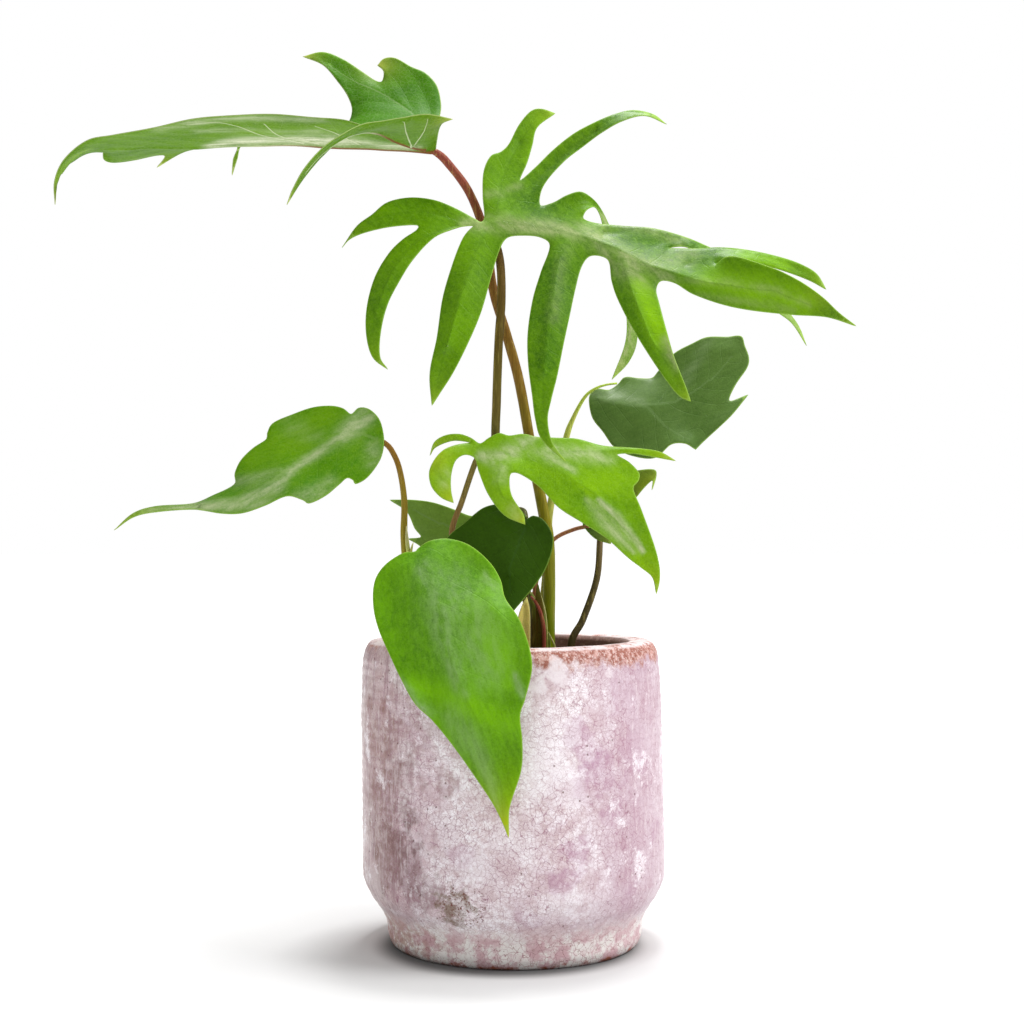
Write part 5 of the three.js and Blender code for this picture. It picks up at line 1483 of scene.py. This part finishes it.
# Grey-mauve and dark mauve lie only down the left: partly the glaze's own, partly painted shade.
grey_mauve_and_painted_shade, dark_mauve_and_painted_shade, rust = (130, 92, 86), (108, 70, 70), (140, 104, 98)
pure_mauve, milk = (170, 112, 150), (246, 240, 245)
known_patches = [
    (-66, 100, 26, grey_mauve_and_painted_shade, 0.65), (-62, 70, 26, dark_mauve_and_painted_shade, 0.75), (-56, 50, 20, dark_mauve_and_painted_shade, 0.85),
    (-44, 36, 17, dark_mauve_and_painted_shade, 0.5), (-50, 112, 22, grey_mauve_and_painted_shade, 0.35), (-31, 88, 7, rust, 0.6),
    (-68, 122, 16, grey_mauve_and_painted_shade, 0.35), (-52, 84, 14, grey_mauve_and_painted_shade, 0.35),
    (34, 106, 12, pure_mauve, 0.5), (40, 90, 14, pure_mauve, 0.55), (46, 72, 9, pure_mauve, 0.5),
    (28, 56, 11, pure_mauve, 0.55), (22, 44, 9, pure_mauve, 0.45), (68, 60, 8, pure_mauve, 0.6),
    (50, 128, 12, pure_mauve, 0.3), (8, 24, 9, pure_mauve, 0.35),
    (42, 10, 9, pure_mauve, 0.4), (-24, 56, 7, pure_mauve, 0.35), (56, 100, 14, pure_mauve, 0.35),
    (12, 98, 20, milk, 0.6), (26, 84, 10, milk, 0.55), (50, 50, 9, milk, 0.7), (58, 118, 10, milk, 0.5),
    (-68, 36, 9, milk, 0.7), (-30, 68, 12, milk, 0.5), (-2, 62, 14, milk, 0.45), (18, 30, 14, milk, 0.4),
    (-14, 48, 12, milk, 0.4), (60, 104, 12, milk, 0.35), (66, 84, 10, milk, 0.35), (59, 66, 10, milk, 0.3),
    (64, 46, 10, milk, 0.35), (44, 34, 12, milk, 0.4), (62, 92, 7, pure_mauve, 0.5),
    (55, 30, 8, pure_mauve, 0.45),
]
for across, height, reach, tint, strength in known_patches:
    coat = over(both(spot(on_wall(across, height), reach, 1.3, 90), broken, strength), coat, tint)
# Painted shade: a brownish darkening down the far left, where the wall turns away from the lamp.
coat = over(both(ease(glaze_tree, parts[0], -0.068, -0.045, 1.0, 0.0), 0.45), coat, (146, 92, 74))
coat = over(both(ease(glaze_tree, parts[0], 0.02, 0.06), 0.65), coat, (176, 140, 158))
dark_streaks = ease(glaze_tree, drips, 0.36, 0.5, 0.7, 0.0)
# Dark drips on the left: partly glaze runs, partly painted shade.
coat = over(both(dark_streaks, leftward, 0.9), coat, (128, 94, 88))
coat = over(both(dark_streaks, sideways, 0.4), coat, (172, 130, 148))
streaked = ease(glaze_tree, thin_drips, 0.5, 0.66, 0.0, 0.6)
streaked = both(streaked, ease(glaze_tree, medium, 0.35, 0.6, 0.2, 1.0))
coat = over(both(streaked, ease(glaze_tree, sideways, 0.0, 1.0, 0.06, 0.8)), coat, (230, 220, 222))
islands = ease(glaze_tree, cloud(glaze_tree, here, 60, 6, 0.75), 0.55, 0.64, 0.0, 0.7)
coat = over(islands, coat, (248, 242, 247))
print(len(known_patches), "known patches")

# %% Crackle and pinholes


def crackle(scale, width, warp):
    """Lines between cells: 1 on a crack."""
    wander = put(glaze_tree, "ShaderNodeTexNoise", {"Vector": here, "Scale": scale * 0.6}).outputs["Color"]
    push = put(glaze_tree, "ShaderNodeVectorMath", {0: wander, 3: warp / scale}, operation="SCALE").outputs[0]
    moved = put(glaze_tree, "ShaderNodeVectorMath", {0: here, 1: push}, operation="ADD").outputs[0]
    values = {"Vector": moved, "Scale": scale, "Randomness": 1.0}
    cells = put(glaze_tree, "ShaderNodeTexVoronoi", values, feature="DISTANCE_TO_EDGE").outputs[0]
    return ease(glaze_tree, cells, 0.0, width, 1.0, 0.0)


crack_scale = 290
cracks = crackle(crack_scale, 0.045, 1.6)
hair = crackle(2.1 * crack_scale, 0.07, 1.6)
shown = ease(glaze_tree, cloud(glaze_tree, here, 45, 4), 0.35, 0.6, 0.45, 1.0)
coat = over(both(cracks, shown, ease(glaze_tree, small, 0.2, 0.6, 0.4, 0.9)), coat, (152, 98, 120))
coat = over(both(hair, shown, 0.6), coat, (166, 120, 132))
dots = put(glaze_tree, "ShaderNodeTexVoronoi", {"Vector": here, "Scale": 260.0})
picked = put(glaze_tree, "ShaderNodeSeparateColor", {0: dots.outputs["Color"]}).outputs[0]
picked = ease(glaze_tree, work_out(glaze_tree, "MULTIPLY_ADD", leftward, 0.35, picked), 0.8, 0.86)
holes = both(ease(glaze_tree, dots.outputs["Distance"], 0.07, 0.17, 1.0, 0.0), picked)
coat = over(both(holes, 0.75), coat, (104, 54, 50))
print("crackle cells about", round(1000 / crack_scale, 1), "mm wide")

# %% Rim, inside and foot
rag = cloud(glaze_tree, here, 150, 5, 0.7)
bare_side = ease(glaze_tree, parts[0], -0.02, 0.03, 0.0, 7.0)
rag_level = work_out(glaze_tree, "MULTIPLY_ADD", rag, 22.0, work_out(glaze_tree, "ADD", level, bare_side))
bare = ease(glaze_tree, rag_level, 157.0, 163.0)
coat = over(both(bare, 0.8), coat, (192, 140, 124))
coat = over(both(bare, ease(glaze_tree, small, 0.42, 0.54, 0.0, 0.9)), coat, (142, 76, 58))
coat = over(both(bare, ease(glaze_tree, speckle, 0.52, 0.62, 0.0, 0.7)), coat, (224, 204, 200))
for across, height, reach in ((20, 139, 8), (12, 134, 5), (31, 143, 4), (-4, 142, 6), (46, 138, 4)):
    coat = over(both(spot(on_wall(across, height), reach, 1.2, 160), broken, 0.85), coat, (234, 224, 228))
# Painted highlight: a pale line along the top of the lip.
painted_lip_highlight = both(ease(glaze_tree, level, pot_height - 1.8, pot_height - 0.6), ease(glaze_tree, rag, 0.4, 0.5))
coat = over(both(painted_lip_highlight, 0.8), coat, (226, 214, 216))
# The dark brown inside is partly bare clay and partly painted shade down in the pot's mouth.
inside_clay_and_shade = both(ease(glaze_tree, from_axis, mouth_radius + 0.5, mouth_radius + 2.0, 1.0, 0.0),
              ease(glaze_tree, level, 5.0, 8.0))
coat = over(both(inside_clay_and_shade, 0.85), coat, (104, 72, 64))
coat = over(both(inside_clay_and_shade, ease(glaze_tree, small, 0.48, 0.62, 0.0, 0.6)), coat, (168, 134, 128))
# The cream over the foot is partly its own cast and partly painted light, standing for bounce from the floor.
foot = ease(glaze_tree, work_out(glaze_tree, "MULTIPLY_ADD", rag, 14.0, level), 18.0, 30.0, 0.8, 0.0)
coat = over(foot, coat, (255, 251, 245))
coat = over(both(foot, ease(glaze_tree, medium, 0.42, 0.58)), coat, (206, 156, 166))
coat = over(both(foot, leftward, ease(glaze_tree, small, 0.42, 0.56)), coat, (178, 122, 96))
coat = over(both(foot, ease(glaze_tree, speckle, 0.6, 0.68)), coat, (150, 98, 82))
coat = over(both(foot, cracks, shown), coat, (168, 104, 110))
chips = both(ease(glaze_tree, work_out(glaze_tree, "MULTIPLY_ADD", rag, -10.0, level), -3.6, -2.2, 1.0, 0.0),
             ease(glaze_tree, medium, 0.45, 0.6))
coat = over(chips, coat, (176, 100, 72))
coat = over(both(spot(on_wall(-27, 29), 11, 1.5, 200), broken, 0.85), coat, (122, 100, 78))
flecks = both(spot(on_wall(-24, 32), 14, 1.2, 160), ease(glaze_tree, speckle, 0.54, 0.62))
coat = over(flecks, coat, (110, 48, 36))
glaze_tree.links.new(coat, glaze_shader.inputs["Base Color"])
unglazed = work_out(glaze_tree, "MAXIMUM", bare, inside_clay_and_shade)
gloss = ease(glaze_tree, medium, 0.3, 0.7, 0.28, 0.45)
gloss = work_out(glaze_tree, "MULTIPLY_ADD", unglazed, 0.35, gloss)
glaze_tree.links.new(gloss, glaze_shader.inputs["Roughness"])
relief = work_out(glaze_tree, "MULTIPLY", cracks, -0.03)
relief = work_out(glaze_tree, "MULTIPLY_ADD", holes, -0.25, relief)
relief = work_out(glaze_tree, "MULTIPLY_ADD", small, 0.1, relief)
relief = work_out(glaze_tree, "MULTIPLY_ADD", medium, 0.3, relief)
relief = work_out(glaze_tree, "MULTIPLY_ADD", bare, -0.08, relief)
glaze_tree.links.new(bump(glaze_tree, relief), glaze_shader.inputs["Normal"])
make_piece("pot_glazed", ["pot"], pot_points, pot_faces, [glaze])

# %% [markdown]
# ## Soil
#
# The pot is filled with loose mix: dark peat with bits of bark and white grains of perlite. The peat is a
# disc whose top is raised by noise at three sizes, and each bit of bark is a small wedge with its own
# turn. They could be scattered as instances, but then the piece wouldn't be one plain mesh.

# %% Peat
soil_level = 132.5
soil_radius = mouth_radius - 0.4
soil_rings = 70
soil_sides = 180
soil_wall = ((60, 1.0), (41, 1.0), (23, 0.945), (9.4, 0.83))
peat_lumps = ((2.2, 22, 1), (1.3, 7, 2), (0.7, 2.4, 6))


def peat_height(x, y):
    """Height of the peat at a place, in millimetres."""
    away = math.hypot(x, y) / soil_radius
    lump = sum(rise * wandering(x, y, 0, width, seed) for rise, width, seed in peat_lumps)
    return soil_level + 0.8 * (1 - away**2) + lump * (1 - 0.5 * away)


soil_lean = lean_at(soil_level)
soil_points = [(soil_lean, 0, peat_height(0, 0))]
for n in range(1, soil_rings + 1):
    for k in range(soil_sides):
        angle = 2 * math.pi * k / soil_sides
        x, y = (soil_radius * n / soil_rings * part for part in (math.cos(angle), math.sin(angle)))
        soil_points.append((x + soil_lean, y, peat_height(x, y)))
for low, shrink in soil_wall:
    for k in range(soil_sides):
        angle = 2 * math.pi * k / soil_sides
        x, y = (soil_radius * shrink * part for part in (math.cos(angle), math.sin(angle)))
        soil_points.append((x + lean_at(low), y, low))
soil_points.append((lean_at(0), 0, soil_wall[-1][0]))
soil_faces = [(0, 1 + k, 1 + (k + 1) % soil_sides) for k in range(soil_sides)]
bands = soil_rings + len(soil_wall) - 1
for a in range(1, 1 + bands * soil_sides, soil_sides):
    b = a + soil_sides
    for k in range(soil_sides):
        following = (k + 1) % soil_sides
        soil_faces.append((a + k, b + k, b + following, a + following))
last = 1 + bands * soil_sides
soil_faces += [(last + k, len(soil_points) - 1, last + (k + 1) % soil_sides) for k in range(soil_sides)]


def dull(tree, shader, tone, height, depth, roughness):
    """Joins a rough, dull material: its colour and a relief this many millimetres deep."""
    tree.links.new(tone, shader.inputs["Base Color"])
    tree.links.new(bump(tree, times(tree, height, depth)), shader.inputs["Normal"])
    shader.inputs["Roughness"].default_value = roughness


peat, peat_tree, peat_shader = principled("peat")
here = own_place(peat_tree)
grain = cloud(peat_tree, here, 500, 5, 0.7)
crumb = cloud(peat_tree, here, 160, 3)
tone = blend(peat_tree, ease(peat_tree, crumb, 0.3, 0.7), colour(38, 26, 18), colour(74, 54, 38))
tone = blend(peat_tree, ease(peat_tree, grain, 0.55, 0.7, 0.0, 0.6), tone, colour(112, 84, 60))
dull(peat_tree, peat_shader, tone, grain, 1.2, 0.95)
make_piece("soil_peat", ["soil"], soil_points, soil_faces, [peat])

# %% Bark and perlite
bark, bark_tree, bark_shader = principled("bark")
here = own_place(bark_tree)
rings = cloud(bark_tree, stretched(bark_tree, here, 1, 0.25, 1), 420, 4, 0.6)
tone = blend(bark_tree, ease(bark_tree, cloud(bark_tree, here, 90, 1), 0.35, 0.65), colour(66, 42, 28),
             colour(128, 88, 58))
tone = blend(bark_tree, ease(bark_tree, rings, 0.5, 0.7, 0.0, 0.6), tone, colour(40, 26, 18))
dull(bark_tree, bark_shader, tone, rings, 0.5, 0.85)

perlite, perlite_tree, perlite_shader = principled("perlite")
here = own_place(perlite_tree)
foam = cloud(perlite_tree, here, 900, 4, 0.6)
tone = blend(perlite_tree, ease(perlite_tree, foam, 0.4, 0.7), colour(236, 232, 224), colour(196, 188, 174))
dull(perlite_tree, perlite_shader, tone, foam, 0.5, 0.9)

dice = random.Random(7)
ball = [(x, y, z) for x in (-1, 1) for y in (-1, 1) for z in (-1, 1)]
ball_faces = [(0, 1, 3, 2), (4, 6, 7, 5), (0, 4, 5, 1), (2, 3, 7, 6), (0, 2, 6, 4), (1, 5, 7, 3)]


def scatter(name, count, longest, flatness, material):
    """Many small rough bits that lie on the peat, as one mesh."""
    points, faces = [], []
    for _ in range(count):
        angle, away = dice.uniform(0, 2 * math.pi), (soil_radius - 5) * math.sqrt(dice.random())
        x, y = away * math.cos(angle), away * math.sin(angle)
        size = longest * dice.uniform(0.35, 1)
        sides = (size, size * dice.uniform(0.45, 0.8), size * flatness * dice.uniform(0.6, 1.2))
        turn, tilt = dice.uniform(0, 2 * math.pi), dice.uniform(-0.5, 0.5)
        first = len(points)
        for corner in ball:
            u, v, w = (half * side * dice.uniform(0.28, 0.55) for half, side in zip(corner, sides))
            v, w = v * math.cos(tilt) - w * math.sin(tilt), v * math.sin(tilt) + w * math.cos(tilt)
            u, v = u * math.cos(turn) - v * math.sin(turn), u * math.sin(turn) + v * math.cos(turn)
            points.append((x + soil_lean + u, y + v, peat_height(x, y) + 0.25 * sides[2] + w))
        faces += [tuple(first + corner for corner in face) for face in ball_faces]
    piece = make_piece(name, [], points, faces, [material])
    bevel = piece.modifiers.new("worn corners", "BEVEL")
    bevel.width = 0.25 * MM
    bevel.segments = 2
    return piece


scatter("soil_bark", 330, 9, 0.35, bark)
scatter("soil_perlite", 130, 3.2, 0.8, perlite)
